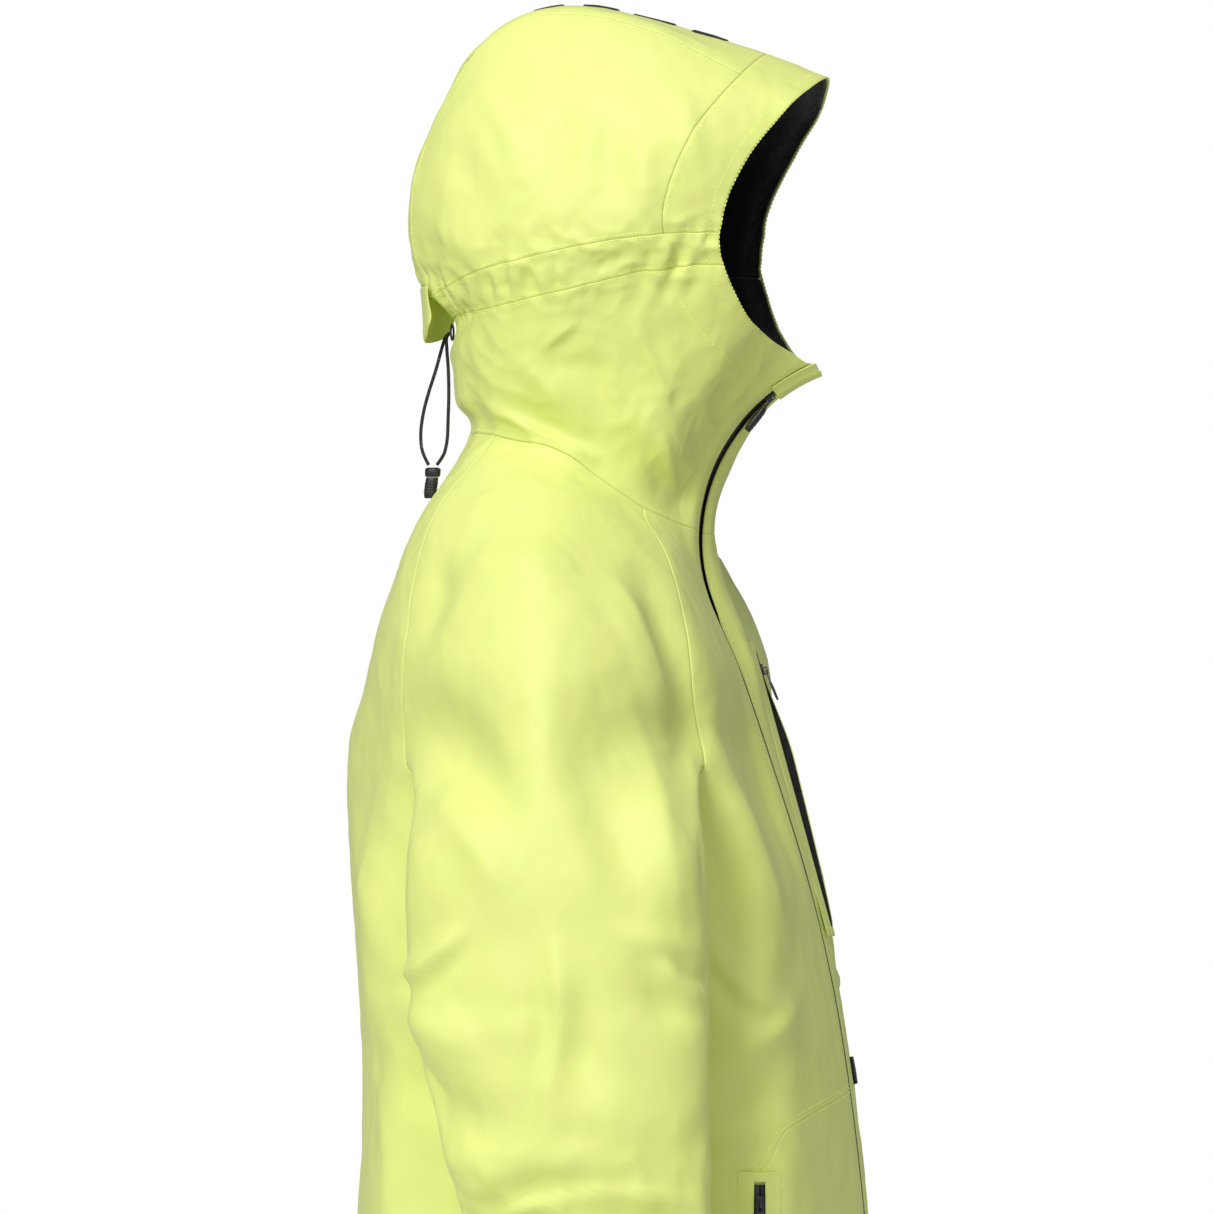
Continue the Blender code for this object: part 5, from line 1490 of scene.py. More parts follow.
def pocket_lines(cage):
    """Each pocket's name, zip frame, length and way its mouth faces, as the CAD has them."""
    tree = BVHTree.FromPolygons([tuple(p) for p in cage.points], cage.quads)
    forward = Vector((0.0, -1.0, 0.0))
    found = {"chest_pocket": pocket_line(tree, CHEST_TOP, CHEST_BOTTOM, forward, CHEST_LIFT)}
    for side in SIDES:
        start, end = to_side(HAND_TOP, side), to_side(HAND_BOTTOM, side)
        guess = Vector((-0.7 * SIDES[side], -0.7, 0.0)).normalized()
        middle = start.lerp(end, 0.5)
        normal = tree.ray_cast(middle + guess * 0.6, -guess)[1]
        direction = Vector((normal.x, normal.y, 0.0)).normalized()
        found["hand_pocket_" + side] = pocket_line(tree, start, end, direction, HAND_LIFT)
    return found


POCKET_FLAT = 0.011         # half width of cloth that lies against a pocket's zip
POCKET_FADE = 0.026         # further out the cloth goes back to its own level over this width
POCKET_FLOOR = -0.0031      # that cloth's height in the zip's frame


def left_of_zip(points):
    """0 on the front zip and on the wearer's right of it, 1 well to the left."""
    middle = np.array(zip_centre())[::-1]
    across = points[:, 0] - np.interp(points[:, 2], middle[:, 2], middle[:, 0])
    return smooth_step((across - 0.008) / 0.014)


def pocket_moves(surface, lines):
    """Bring the cloth up against the back of each pocket's zip."""
    moves = np.zeros_like(surface.points)
    for name, ((high, side, out, up), length) in lines.items():
        ray = surface.points - np.array(high)
        across, height = ray @ np.array(side), ray @ np.array(out)
        down = -(ray @ np.array(up))
        fade = 1.0 - smooth_step((np.abs(across) - POCKET_FLAT) / POCKET_FADE)
        beyond = np.maximum(np.maximum(-down - 0.006, down - length - 0.006), 0.0)
        fade *= 1.0 - smooth_step(beyond / POCKET_FADE)
        if name == "chest_pocket":
            fade *= left_of_zip(surface.points)
        fade *= (np.abs(height) < 0.03) & (surface.normals() @ np.array(out) > 0.2)
        moves += np.array(out) * ((POCKET_FLOOR - height) * fade)[:, None]
    return moves


POCKET_ZIP = [(-0.0075, -0.0028), (0.0075, -0.0028), (0.0075, -0.0023), (0.0036, -0.0021),
              (0.0030, -0.0011), (0.0020, -0.0007), (0.0009, -0.0006), (0.0007, -0.0022),
              (-0.0007, -0.0022), (-0.0009, -0.0006), (-0.0020, -0.0007), (-0.0030, -0.0011),
              (-0.0036, -0.0021), (-0.0075, -0.0023)]
POCKET_LIP = [(0.0160, -0.0027), (0.0125, -0.0019), (0.0085, -0.0008), (0.0052, -0.0001),
              (0.0041, -0.0004), (0.0039, -0.0010), (0.0046, -0.0014), (0.0085, -0.0017),
              (0.0125, -0.0027), (0.0160, -0.0034)]


def along_pocket(at, length, count, over=0.0):
    high, side, out, up = at
    span = length + 2.0 * over
    return [(high + up * (over - span * i / (count - 1)), side, out, up) for i in range(count)]


MOUTH_STEPS = 70
MOUTH_HEIGHT = 0.0075       # the chest pocket's far lip stands out this far at its most open


def mouth_rise(t):
    """How open the chest pocket stands, by the share of the way down it."""
    return float(smooth_step((t - 0.06) / 0.34) * (1.0 - t) ** 0.55)


# Each corner of the mouth's section: sideways, outward, and its share of the mouth's rise.
MOUTH_LIP = [(0.0300, -0.0029, 0.0), (0.0220, -0.0021, 0.22), (0.0130, -0.0012, 0.70),
             (0.0066, -0.0002, 1.0), (0.0053, -0.0004, 1.0), (0.0052, -0.0014, 1.0),
             (0.0066, -0.0016, 1.0), (0.0130, -0.0026, 0.70), (0.0220, -0.0034, 0.20),
             (0.0300, -0.0036, 0.0)]
MOUTH_WALL = [(0.0040, -0.0016, 0.0), (0.0049, -0.0010, 0.45), (0.0051, -0.0006, 0.97),
              (0.0060, -0.0006, 0.97), (0.0062, -0.0016, 0.5), (0.0056, -0.0021, 0.0)]


def build_chest_mouth(at, length, looks):
    """The chest pocket's far lip stands off the body, with the black pocket showing inside it."""
    edges = along_pocket(at, length, MOUTH_STEPS, 0.002)
    rises = [MOUTH_HEIGHT * mouth_rise(i / (MOUTH_STEPS - 1)) for i in range(MOUTH_STEPS)]
    jobs = [("lip", MOUTH_LIP, "shell", "shell_fabric"),
            ("lining", MOUTH_WALL, "lining", "pocket_bag")]
    for name, corners, look, slot in jobs:
        sections = [smooth_section([(-x, n + rise * share) for x, n, share in corners], 3)
                    for rise in rises]
        mesh = lofted_mesh("mouth", sections, edges)
        piece(softened("chest_pocket_mouth_" + name, mesh, 60.0), looks[look], slot)


def lofted_mesh(name, sections, frames):
    """A closed bar whose section changes along it."""
    rings = [[place + side * x + out * n for x, n in section]
             for section, (place, side, out, _) in zip(sections, frames)]
    return tube_mesh(name, rings)


def build_pocket_zip(name, at, length, looks, bodies, lip_nodes):
    high, side, out, up = at
    frames = along_pocket(at, length, int(length / 0.0006))
    ribs = [(1.0, 1.0 + 0.08 * (i % 2)) for i in range(len(frames))]
    mesh = swept_mesh(name, POCKET_ZIP, frames, 0.0, ribs)
    piece(softened(name + "_zip_coil", mesh, 30.0), looks["tape"], "zip_tape", name + "_zip_tape")
    lips = []
    signs = (1.0,) if name == "chest_pocket" else (-1.0, 1.0)
    for sign in signs:
        section = smooth_section([(x * sign, n) for x, n in POCKET_LIP], 3)
        edges = along_pocket(at, length, 50, 0.009)
        lips.append(swept_mesh("lip", section, waved(edges, sign), 0.0005))
    mesh = joined(name + "_lips", lips + [lip_end(at, length, sign) for sign in (-1.0, 1.0)])
    piece(softened(name + "_lips", mesh, 60.0), looks["shell"], "shell_fabric", *lip_nodes)
    slider_body, puller_body = bodies
    moulded(name + "_slider_cast", name + "_zip_slider", 0.0002, looks["metal"], "zip_hardware",
            slider_body, SLIDER_SHARE)
    spot = (high - up * SLIDER_DOWN, side, out, up)
    build_puller(name + "_zip_puller", spot, POCKET_PULLER, POCKET_HANG, 0.0008, looks, puller_body)


def waved(frames, sign):
    """A lip's edge isn't quite straight: it opens a little in the middle of the pocket."""
    last = len(frames) - 1
    bent = []
    for i, (place, side, out, up) in enumerate(frames):
        t = i / last
        open_by = 0.0005 * sin(pi * t) + 0.00025 * sin(17.0 * t + sign)
        bent.append((place + side * sign * open_by, side, out, up))
    return bent


def lip_end(at, length, sign):
    """The welded end of a pocket, above (1) or below (-1) its zip."""
    high, side, out, up = at
    middle = high + up * 0.0055 if sign > 0.0 else high - up * (length + 0.0055)
    bar = [(middle - side * x, up, out, side) for x in np.linspace(-0.0060, 0.0060, 9)]
    return swept_mesh("end", rounded_profile(0.0034, -0.0028, -0.0001, 0.0008), bar, 0.0006)


def skin_plate(name, skin, grid, direction, low, thick, crown=0.0):
    """A thin closed plate laid on the cloth, its edges brought down; grid is rows of points."""
    rows, columns = len(grid), len(grid[0])
    top, bottom = [], []
    for r, row in enumerate(grid):
        for c, point in enumerate(row):
            place, normal = skin.press(point, direction) if direction else skin.nearest(point)
            edge = r in (0, rows - 1) or c in (0, columns - 1)
            level = low + thick * (0.35 if edge else 1.0)
            swell = crown * sin(pi * r / (rows - 1)) * sin(pi * c / (columns - 1))
            top.append(place + normal * (level + swell))
            bottom.append(place + normal * low)
    return plate_mesh(name, top, bottom, rows, columns)


def build_pocket_bag(name, skin, at, length, reach, looks):
    """The pocket's bag, hanging behind the shell beside the zip."""
    high, side, _, up = at
    grid = []
    for down in np.linspace(0.010, length - 0.010, 26):
        row = [high - up * down + side * x for x in np.linspace(0.004 * reach, 0.066 * reach, 16)]
        grid.append(row)
    mesh = skin_plate(name, skin, grid, None, -0.0041, 0.0009)
    piece(softened(name + "_cloth", mesh, 60.0), looks["lining"], "pocket_bag", name)


def build_pockets(skin, lines, looks):
    at, length = lines["chest_pocket"]
    build_pocket_zip("chest_pocket", at, length, looks, ("chest_zip_slider", "chest_zip_puller"),
                     ["chest_pocket_lip"])
    build_pocket_bag("chest_pocket_bag", skin, at, length, -1.0, looks)
    build_chest_mouth(at, length, looks)
    for side in SIDES:
        name = "hand_pocket_" + side
        at, length = lines[name]
        bodies = ("hand_zip_" + side + "_slider", "hand_zip_" + side + "_puller")
        build_pocket_zip(name, at, length, looks, bodies, [name + "_welt"])
        build_pocket_bag(name + "_bag", skin, at, length, SIDES[side], looks)


# ---------------------------------------------------------------- small trims
def rounded_patch(width, length, corner, across=13, along=25):
    """Rows of (sideways, along) places over a rectangle with rounded corners."""
    rows = []
    for i in range(along):
        y = -length / 2 + length * i / (along - 1)
        inside = max(0.0, abs(y) - (length / 2 - corner))
        half = width / 2 - corner + sqrt(max(0.0, corner ** 2 - inside ** 2))
        rows.append([(half * (2.0 * j / (across - 1) - 1.0), y) for j in range(across)])
    return rows


CROWN_BARS = [(0.0423, 0.0185), (0.0038, -0.0231), (-0.0346, -0.0662), (-0.0792, -0.1061)]


def build_crown_bars(skin, looks):
    """Plain dark rubber bars in a row along the crown."""
    bars = []
    for near, far in CROWN_BARS:
        middle, length = (near + far) / 2, near - far
        grid = [[Vector((x, middle + y, 0.3)) for x, y in row]
                for row in rounded_patch(0.024, length, 0.0035)]
        bars.append(skin_plate("bar", skin, grid, Vector((0.0, 0.0, 1.0)), 0.0001, 0.0010, 0.0001))
    obj = softened("crown_trim_bars", joined("bars", bars), 50.0)
    piece(obj, looks["plastic"], "crown_trim", "crown_trim")


def build_front_tab(skin, looks):
    """A small plain loop label, folded over at its outer edge."""
    middle = Vector((0.0048, 0.0, -0.441))
    place, normal = skin.press(middle, Vector((0.0, -1.0, 0.0)))
    side = Vector((1.0, 0.0, 0.0))
    side = (side - normal * side.dot(normal)).normalized()
    up = normal.cross(side)
    up = up if up.z > 0.0 else -up
    loop = [(-0.0030, -0.0003), (0.0030, -0.0003), (0.0038, 0.0004), (0.0040, 0.0014),
            (0.0036, 0.0026), (0.0018, 0.0033), (-0.0010, 0.0030), (-0.0030, 0.0018)]
    outer = smooth_section(loop, 4)
    frames = [(place + up * z, side, normal, up) for z in np.linspace(-0.0100, 0.0100, 26)]
    scale = [(1.0 + 0.04 * sin(40.0 * i), 1.0 - 0.05 * cos(0.24 * i)) for i in range(26)]
    obj = softened("front_tab_loop", swept_mesh("tab", outer, frames, 0.0003, scale), 50.0)
    piece(obj, looks["webbing"], "loop_tape", "front_tab")


def build_hanger_loop(looks):
    """The loop tape inside the neck, on the places that the CAD gives it."""
    low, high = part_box("hanger_loop")
    x, z = (high[0] - low[0]) / 2, (high[2] + low[2]) / 2
    back, front = high[1] - 0.0008, low[1] + 0.0008
    keys = [Vector((-x, back, z - 0.003)), Vector((-x * 0.86, back - 0.003, z)),
            Vector((0.0, front, z + 0.002)), Vector((x * 0.86, back - 0.003, z)),
            Vector((x, back, z - 0.003))]
    points = even_curve(keys, 44)
    frames = []
    upright = Vector((0.0, 0.0, 1.0))
    for i, place in enumerate(points):
        along = (points[min(i + 1, 44)] - points[max(i - 1, 0)]).normalized()
        frames.append((place, upright, along.cross(upright).normalized(), along))
    profile = rounded_profile(0.0038, -0.0006, 0.0006, 0.0004)
    ribs = [(1.0, 1.0 + 0.16 * (i % 2)) for i in range(len(doubled(frames)))]
    obj = softened("hanger_loop_webbing", swept_mesh("loop", profile, doubled(frames), 0.0004, ribs))
    piece(obj, looks["webbing"], "loop_tape", "hanger_loop")


# ---------------------------------------------------------------- hood's back
FLAP_WIDE = 0.050           # half width of the flap at the nape
FLAP_ROUNDS = 14            # rounds that smooth its hang


def hung_depth(hangs, walls):
    """How far back each point of a hanging flap lies: evened out, and clear of what is behind."""
    depth = np.maximum(hangs, walls)
    for _ in range(FLAP_ROUNDS):
        depth[:, 1:-1] = (depth[:, :-2] + 2.0 * depth[:, 1:-1] + depth[:, 2:]) / 4
        depth[1:-1] = (depth[:-2] + 2.0 * depth[1:-1] + depth[2:]) / 4
        depth = np.maximum(depth, walls)
    return depth


def build_rear_flap(skin, looks):
    """The flap at the nape: a drooping piece of doubled cloth with a turned hem."""
    back = Vector((0.0, 1.0, 0.0))
    rows, columns = 26, 41
    places, walls, hangs = [], [], []
    for r in range(rows):
        t = r / (rows - 1)
        round_off = sqrt(max(0.0, 1.0 - max(0.0, (t - 0.72) / 0.28) ** 2.4 * 0.30))
        for c in range(columns):
            x = 2.0 * c / (columns - 1) - 1.0
            wide = x * FLAP_WIDE * (1.0 - 0.10 * t) * round_off
            z = FLAP_TOP + (FLAP_BOTTOM - FLAP_TOP) * t + 0.009 * t * x * x
            sewn = skin.press((wide, 0.0, FLAP_TOP - 0.001), back)[0].y
            walls.append(skin.press((wide, 0.0, z), back)[0].y + 0.0008)
            hangs.append(sewn + 0.0022 - 0.0030 * t + 0.0010 * sin(4.2 * x + 2.0 * t) * t)
            places.append((wide, z, t, x))
    depth = hung_depth(np.array(hangs).reshape(rows, columns), np.array(walls).reshape(rows, columns))
    outer, inner = [], []
    for (wide, z, t, x), y in zip(places, depth.reshape(-1)):
        hem = 0.0004 * exp(-((t - 0.82) / 0.04) ** 2)
        edge = min(t, 1.0 - t, (1.0 - abs(x)) * 1.6) < 0.02
        outer.append(Vector((wide, y + (0.0003 if edge else 0.0012) + hem, z)))
        inner.append(Vector((wide, y - 0.0002, z)))
    obj = softened("hood_rear_flap_cloth", plate_mesh("flap", outer, inner, rows, columns), 60.0)
    piece(obj, looks["shell"], "shell_fabric", "hood_rear_flap")


def build_cord(looks):
    """The hood's cinch cord: two strands of one loop down to a moulded end."""
    moulded("cord_eyelet_pressed", "cord_eyelet", 0.0005, looks["metal"], "zip_hardware")
    cap = moulded("cord_end_cap_moulded", "cord_end_cap", 0.0007, looks["plastic"], "cord_end")
    end = moulded("cord_end_body_moulded", "cord_end_body", 0.0007, looks["plastic"], "cord_end")
    grips = cord_end_ribs()
    piece(grips, looks["plastic"], "cord_end")
    for name, route in CORD_ROUTES.items():
        strand, length = cord_strand(name, [Vector(p) for p in route])
        piece(strand, looks["cord"], "cord", name)


def cord_end_ribs():
    """Raised grip ribs round the cord end's body."""
    x, y, z = CORD_END
    ribs = []
    for k in range(4):
        t = (k + 0.5) / 4
        middle = Vector((x, y + 0.0010 + 0.0012 * t, z - 0.0110 - 0.0090 * t))
        points, faces = [], []
        sides = 28
        for i in range(sides):
            turn = 2.0 * pi * i / sides
            wide = copysign(abs(cos(turn)) ** 0.6, cos(turn)) * 0.0031
            deep = copysign(abs(sin(turn)) ** 0.6, sin(turn)) * 0.0046
            for reach, rise in ((0.0, -0.0006), (0.00035, -0.0003), (0.00035, 0.0003), (0.0, 0.0006)):
                grow = 1.0 + reach / 0.0038
                points.append(middle + Vector((wide * grow, deep * grow, rise)))
            for j in range(4):
                a, b = i * 4 + j, i * 4 + (j + 1) % 4
                c, d = ((i + 1) % sides) * 4 + (j + 1) % 4, ((i + 1) % sides) * 4 + j
                faces.append((a, b, c, d))
        ribs.append(closed_mesh("rib", points, faces))
    return softened("cord_end_ribs", joined("ribs", ribs), 50.0)


def cord_strand(name, route):
    """A round strand along a smooth line, and its length."""
    points = even_curve(route, 30)
    curve = bpy.data.curves.new(name + "_braid", "CURVE")
    curve.dimensions = "3D"
    curve.bevel_depth = CORD_DIAMETER / 2
    curve.bevel_resolution = 6
    curve.use_fill_caps = True
    line = curve.splines.new("POLY")
    line.points.add(len(points) - 1)
    for slot, place in zip(line.points, points):
        slot.co = (*place, 1.0)
    for spline in curve.splines:
        spline.use_smooth = True
    made = linked(name + "_braid", curve)
    return made, sum((b - a).length for a, b in zip(points, points[1:]))


# ---------------------------------------------------------------- cuffs
def cuff_point(fraction, angle, grow, side):
    """A place round the sleeve's end, by angle in degrees and height as a fraction."""
    return ring_point(sleeve_value(fraction), angle, side, grow)


def ring_mesh(name, sections):
    """A closed band from rings of points; each section is one ring of the band's cross-section."""
    count = len(sections[0])
    points = [p for ring in sections for p in ring]
    faces = []
    for r in range(len(sections)):
        for i in range(count):
            j = (i + 1) % count
            low, high = r * count, (r + 1) % len(sections) * count
            faces.append((low + i, low + j, high + j, high + i))
    return closed_mesh(name, points, faces)


CUFF_SECTION = [(0.900, 0.0018), (0.900, 0.0028), (0.904, 0.0034), (0.912, 0.0030), (0.93, 0.0032),
                (0.95, 0.0033), (0.970, 0.0031), (0.984, 0.0034), (0.996, 0.0035), (1.000, 0.0026),
                (0.999, 0.0014), (0.99, 0.0012), (0.95, 0.0014), (0.91, 0.0014)]


def build_cuffs(looks):
    for side in SIDES:
        steps = 96
        rings = []
        for fraction, grow in CUFF_SECTION:
            ring = []
            for i in range(steps):
                angle = 360.0 * i / steps
                pucker = 0.0003 * sin(radians(angle) * 17.0 + fraction * 40.0)
                ring.append(cuff_point(fraction, angle, grow + pucker, side))
            rings.append(ring)
        band = softened("cuff_" + side + "_band", ring_mesh("cuff", rings), 60.0)
        piece(band, looks["shell"], "shell_fabric", "cuff_" + side)
        build_cuff_closure(side, looks)


def bent_plate(name, side, start, end, half, grows, corner):
    """A plate bent round the cuff with rounded corners at its far end."""
    columns, rows = 46, 15
    outer, inner = [], []
    for r in range(rows):
        for c in range(columns):
            t = c / (columns - 1)
            tip = max(0.0, (t - (1.0 - corner)) / corner)
            reach = half * (1.0 - 0.45 * tip ** 3)
            fraction = TAB_MIDDLE + reach * (2.0 * r / (rows - 1) - 1.0)
            angle = start + (end - start) * t
            edge = r in (0, rows - 1) or c in (0, columns - 1)
            inset = (grows[1] - grows[0]) * (0.35 if edge else 0.0)
            outer.append(cuff_point(fraction, angle, grows[1] - inset, side))
            inner.append(cuff_point(fraction, angle, grows[0] + inset, side))
    return softened(name, plate_mesh(name, outer, inner, rows, columns), 60.0)


def build_cuff_closure(side, looks):
    """The cuff's tab, which lifts about its sewn end, and the patch it closes on."""
    half = TAB_HALF * 0.86
    patch = bent_plate("cuff_patch_" + side + "_hook", side, TAB_SEWN - 12.0, TAB_END - 8.0,
                       half, (0.0033, 0.0046), 0.10)
    piece(patch, looks["patch"], "closure_patch", "cuff_patch_" + side)
    tab = bent_plate("cuff_tab_" + side + "_cloth", side, TAB_SEWN, TAB_END, TAB_HALF,
                     (0.0054, 0.0070), 0.22)
    piece(tab, looks["shell"], "shell_fabric", "cuff_tab_" + side, body="cuff_flap_" + side)


# ---------------------------------------------------------------- materials
class Nodes:
    """Small helper to wire a Principled material."""

    def __init__(self, name, colour, roughness):
        self.made = bpy.data.materials.new(name)
        self.made.use_nodes = True
        self.tree = self.made.node_tree
        self.shader = self.tree.nodes["Principled BSDF"]
        self.set("Base Color", (*colour, 1.0))
        self.set("Roughness", roughness)
        self.bump_input = None

    def set(self, socket, value):
        self.shader.inputs[socket].default_value = value

    def node(self, kind, **values):
        node = self.tree.nodes.new(kind)
        for key, value in values.items():
            if key in node.inputs:
                node.inputs[key].default_value = value
            else:
                setattr(node, key, value)
        return node

    def link(self, a, b):
        self.tree.links.new(a, b)

    def place(self, kind="Object", turn=(0.0, 0.0, 0.0)):
        source = self.node("ShaderNodeTexCoord").outputs[kind]
        mapping = self.node("ShaderNodeMapping", Rotation=turn)
        self.link(source, mapping.inputs["Vector"])
        return mapping.outputs["Vector"]

    def noise(self, vector, scale, detail=3.0, roughness=0.5):
        node = self.node("ShaderNodeTexNoise", Scale=scale, Detail=detail, Roughness=roughness)
        self.link(vector, node.inputs["Vector"])
        return node.outputs["Fac"]

    def wave(self, vector, scale, direction):
        node = self.node("ShaderNodeTexWave", Scale=scale, Distortion=0.4, Detail=1.0)
        node.bands_direction = direction
        self.link(vector, node.inputs["Vector"])
        return node.outputs["Fac"]

    def ramp(self, factor, low, high, first, last):
        node = self.node("ShaderNodeValToRGB")
        node.color_ramp.elements[0].position = low
        node.color_ramp.elements[1].position = high
        node.color_ramp.elements[0].color = (*first, 1.0)
        node.color_ramp.elements[1].color = (*last, 1.0)
        self.link(factor, node.inputs["Fac"])
        return node.outputs["Color"]

    def bump(self, height, strength, distance):
        node = self.node("ShaderNodeBump", Strength=strength, Distance=distance)
        self.link(height, node.inputs["Height"])
        if self.bump_input is not None:
            self.link(self.bump_input, node.inputs["Normal"])
        self.bump_input = node.outputs["Normal"]
        self.link(self.bump_input, self.shader.inputs["Normal"])

    def colour(self, output):
        self.link(output, self.shader.inputs["Base Color"])

    def rough(self, factor, low, high):
        node = self.node("ShaderNodeMapRange")
        node.inputs["To Min"].default_value = low
        node.inputs["To Max"].default_value = high
        self.link(factor, node.inputs["Value"])
        self.link(node.outputs["Result"], self.shader.inputs["Roughness"])


WEAVE = 1100.0              # threads per metre, as drawn by the weave's wave texture


def shell_look(name, bright, deep):
    """Smooth waterproof nylon: faint plain weave, slight crinkle and uneven tone."""
    look = Nodes(name, bright, 0.5)
    cloth = look.place("UV")
    solid = look.place()
    tone = look.noise(solid, 9.0, 4.0, 0.6)
    look.colour(look.ramp(tone, 0.30, 0.72, deep, bright))
    look.rough(look.noise(solid, 35.0, 3.0), 0.44, 0.60)
    look.set("Sheen Weight", 0.12)
    look.set("Sheen Roughness", 0.4)
    look.set("Specular IOR Level", 0.35)
    look.bump(look.noise(solid, 60.0, 4.0, 0.55), 0.25, 0.0012)
    look.bump(look.noise(solid, 420.0, 2.0, 0.5), 0.10, 0.0003)
    look.bump(look.wave(cloth, WEAVE, "X"), 0.12, 0.0001)
    look.bump(look.wave(cloth, WEAVE, "Y"), 0.12, 0.0001)
    return look.made


def dark_cloth_look(name, colour, light):
    """Matte black knit."""
    look = Nodes(name, colour, 0.85)
    solid = look.place()
    tone = look.noise(solid, 240.0, 3.0, 0.6)
    look.colour(look.ramp(tone, 0.35, 0.70, colour, light))
    look.set("Sheen Weight", 0.25)
    look.set("Specular IOR Level", 0.2)
    look.bump(look.wave(look.place(turn=(0.0, 0.6, 0.3)), 420.0, "X"), 0.3, 0.0002)
    look.bump(look.wave(look.place(turn=(0.0, -0.6, 0.3)), 420.0, "Z"), 0.3, 0.0002)
    return look.made


def moulded_look(name, colour, roughness, grain):
    """Moulded plastic or coated metal with a fine grain and rubbed variation."""
    look = Nodes(name, colour, roughness)
    solid = look.place()
    tone = look.noise(solid, 150.0, 3.0)
    look.colour(look.ramp(tone, 0.3, 0.75, colour, tuple(c * 1.9 + 0.006 for c in colour)))
    look.rough(look.noise(solid, 260.0, 3.0), roughness - 0.08, roughness + 0.10)
    look.bump(look.noise(solid, grain, 2.0), 0.18, 0.0001)
    return look.made


def tape_look(name, colour):
    """Coated zip tape: fine ribs across it."""
    look = Nodes(name, colour, 0.42)
    solid = look.place()
    look.colour(look.ramp(look.noise(solid, 300.0), 0.3, 0.7, colour, (0.035, 0.036, 0.040)))
    look.rough(look.noise(solid, 90.0), 0.34, 0.52)
    look.bump(look.wave(look.place(turn=(0.2, 0.1, 0.0)), 900.0, "Z"), 0.35, 0.0002)
    return look.made


def cord_look(name):
    """Black braid with pale reflective flecks."""
    look = Nodes(name, (0.012, 0.012, 0.013), 0.6)
    solid = look.place()
    cells = look.node("ShaderNodeTexVoronoi", Scale=620.0)
    look.link(solid, cells.inputs["Vector"])
    fleck = look.ramp(cells.outputs["Distance"], 0.10, 0.22, (0.75, 0.78, 0.72), (0.0, 0.0, 0.0))
    weave = look.ramp(look.noise(solid, 900.0), 0.4, 0.7, (0.010, 0.010, 0.011), (0.05, 0.05, 0.05))
    rare = look.ramp(look.noise(solid, 210.0, 2.0), 0.52, 0.60, (0.0, 0.0, 0.0), (1.0, 1.0, 1.0))
    gate = look.node("ShaderNodeMix", data_type="RGBA", blend_type="MULTIPLY")
    gate.inputs["Factor"].default_value = 1.0
    look.link(fleck, gate.inputs["A"])
    look.link(rare, gate.inputs["B"])
    total = look.node("ShaderNodeMix", data_type="RGBA", blend_type="ADD")
    total.inputs["Factor"].default_value = 1.0
    look.link(weave, total.inputs["A"])
    look.link(gate.outputs["Result"], total.inputs["B"])
    look.colour(total.outputs["Result"])
    look.bump(look.wave(look.place(turn=(0.5, 0.5, 0.0)), 700.0, "DIAGONAL"), 0.5, 0.0003)
    return look.made


def make_looks():
    return {
        "shell": shell_look("neon_shell", (0.862, 0.935, 0.290), (0.835, 0.918, 0.262)),
        "facing": shell_look("neon_facing", (0.700, 0.830, 0.220), (0.660, 0.800, 0.200)),
        "lining": dark_cloth_look("black_lining", (0.012, 0.012, 0.013), (0.032, 0.032, 0.034)),
        "patch": dark_cloth_look("closure_patch", (0.030, 0.031, 0.033), (0.085, 0.086, 0.09)),
        "tape": tape_look("zip_tape", (0.010, 0.010, 0.011)),
        "metal": moulded_look("dark_hardware", (0.030, 0.031, 0.034), 0.32, 900.0),
        "plastic": moulded_look("black_plastic", (0.012, 0.012, 0.013), 0.42, 1400.0),
        "cord": cord_look("hood_cord"),
        "webbing": dark_cloth_look("black_webbing", (0.014, 0.014, 0.015), (0.045, 0.045, 0.048)),
        "stitch": moulded_look("neon_thread", (0.70, 0.80, 0.20), 0.75, 2500.0),
    }


# ---------------------------------------------------------------- stage
VIEW_CENTRE = Vector((0.0022, -0.0127, -0.0920))
VIEW_DISTANCE = 4.5
VIEW_WIDTH = 0.920
SENSOR_WIDTH = 36.0
FLOOR_Z = -0.748
FLOOR_RADIUS = 1.5
WORLD_FILL = 0.25
LAMP_DISTANCE = 4.0
# Each lamp: name, azimuth, elevation, diameter, watts.
LAMPS = [("key", -106.0, 31.0, 1.7, 96.0), ("top", -78.0, 64.0, 2.6, 45.0)]
WHITE = (1.0, 1.0, 1.0, 1.0)


def build_stage():
    """Camera, world, lamps and floor; none of them belongs to the object."""
    scene = bpy.context.scene
    scene.view_settings.view_transform = "Standard"
    scene.view_settings.look = "None"
    scene.camera = build_camera()
    scene.world = build_world()
    for lamp in LAMPS:
        build_lamp(*lamp)
    build_floor()


def build_camera():
    camera = linked("camera", bpy.data.cameras.new("camera"))
    camera.location = VIEW_CENTRE + LOOK_SIDE * VIEW_DISTANCE
    camera.rotation_euler = (-LOOK_SIDE).to_track_quat("-Z", "Y").to_euler()
    camera.data.sensor_width = SENSOR_WIDTH
    camera.data.lens = camera.data.sensor_width * VIEW_DISTANCE / VIEW_WIDTH
    return camera


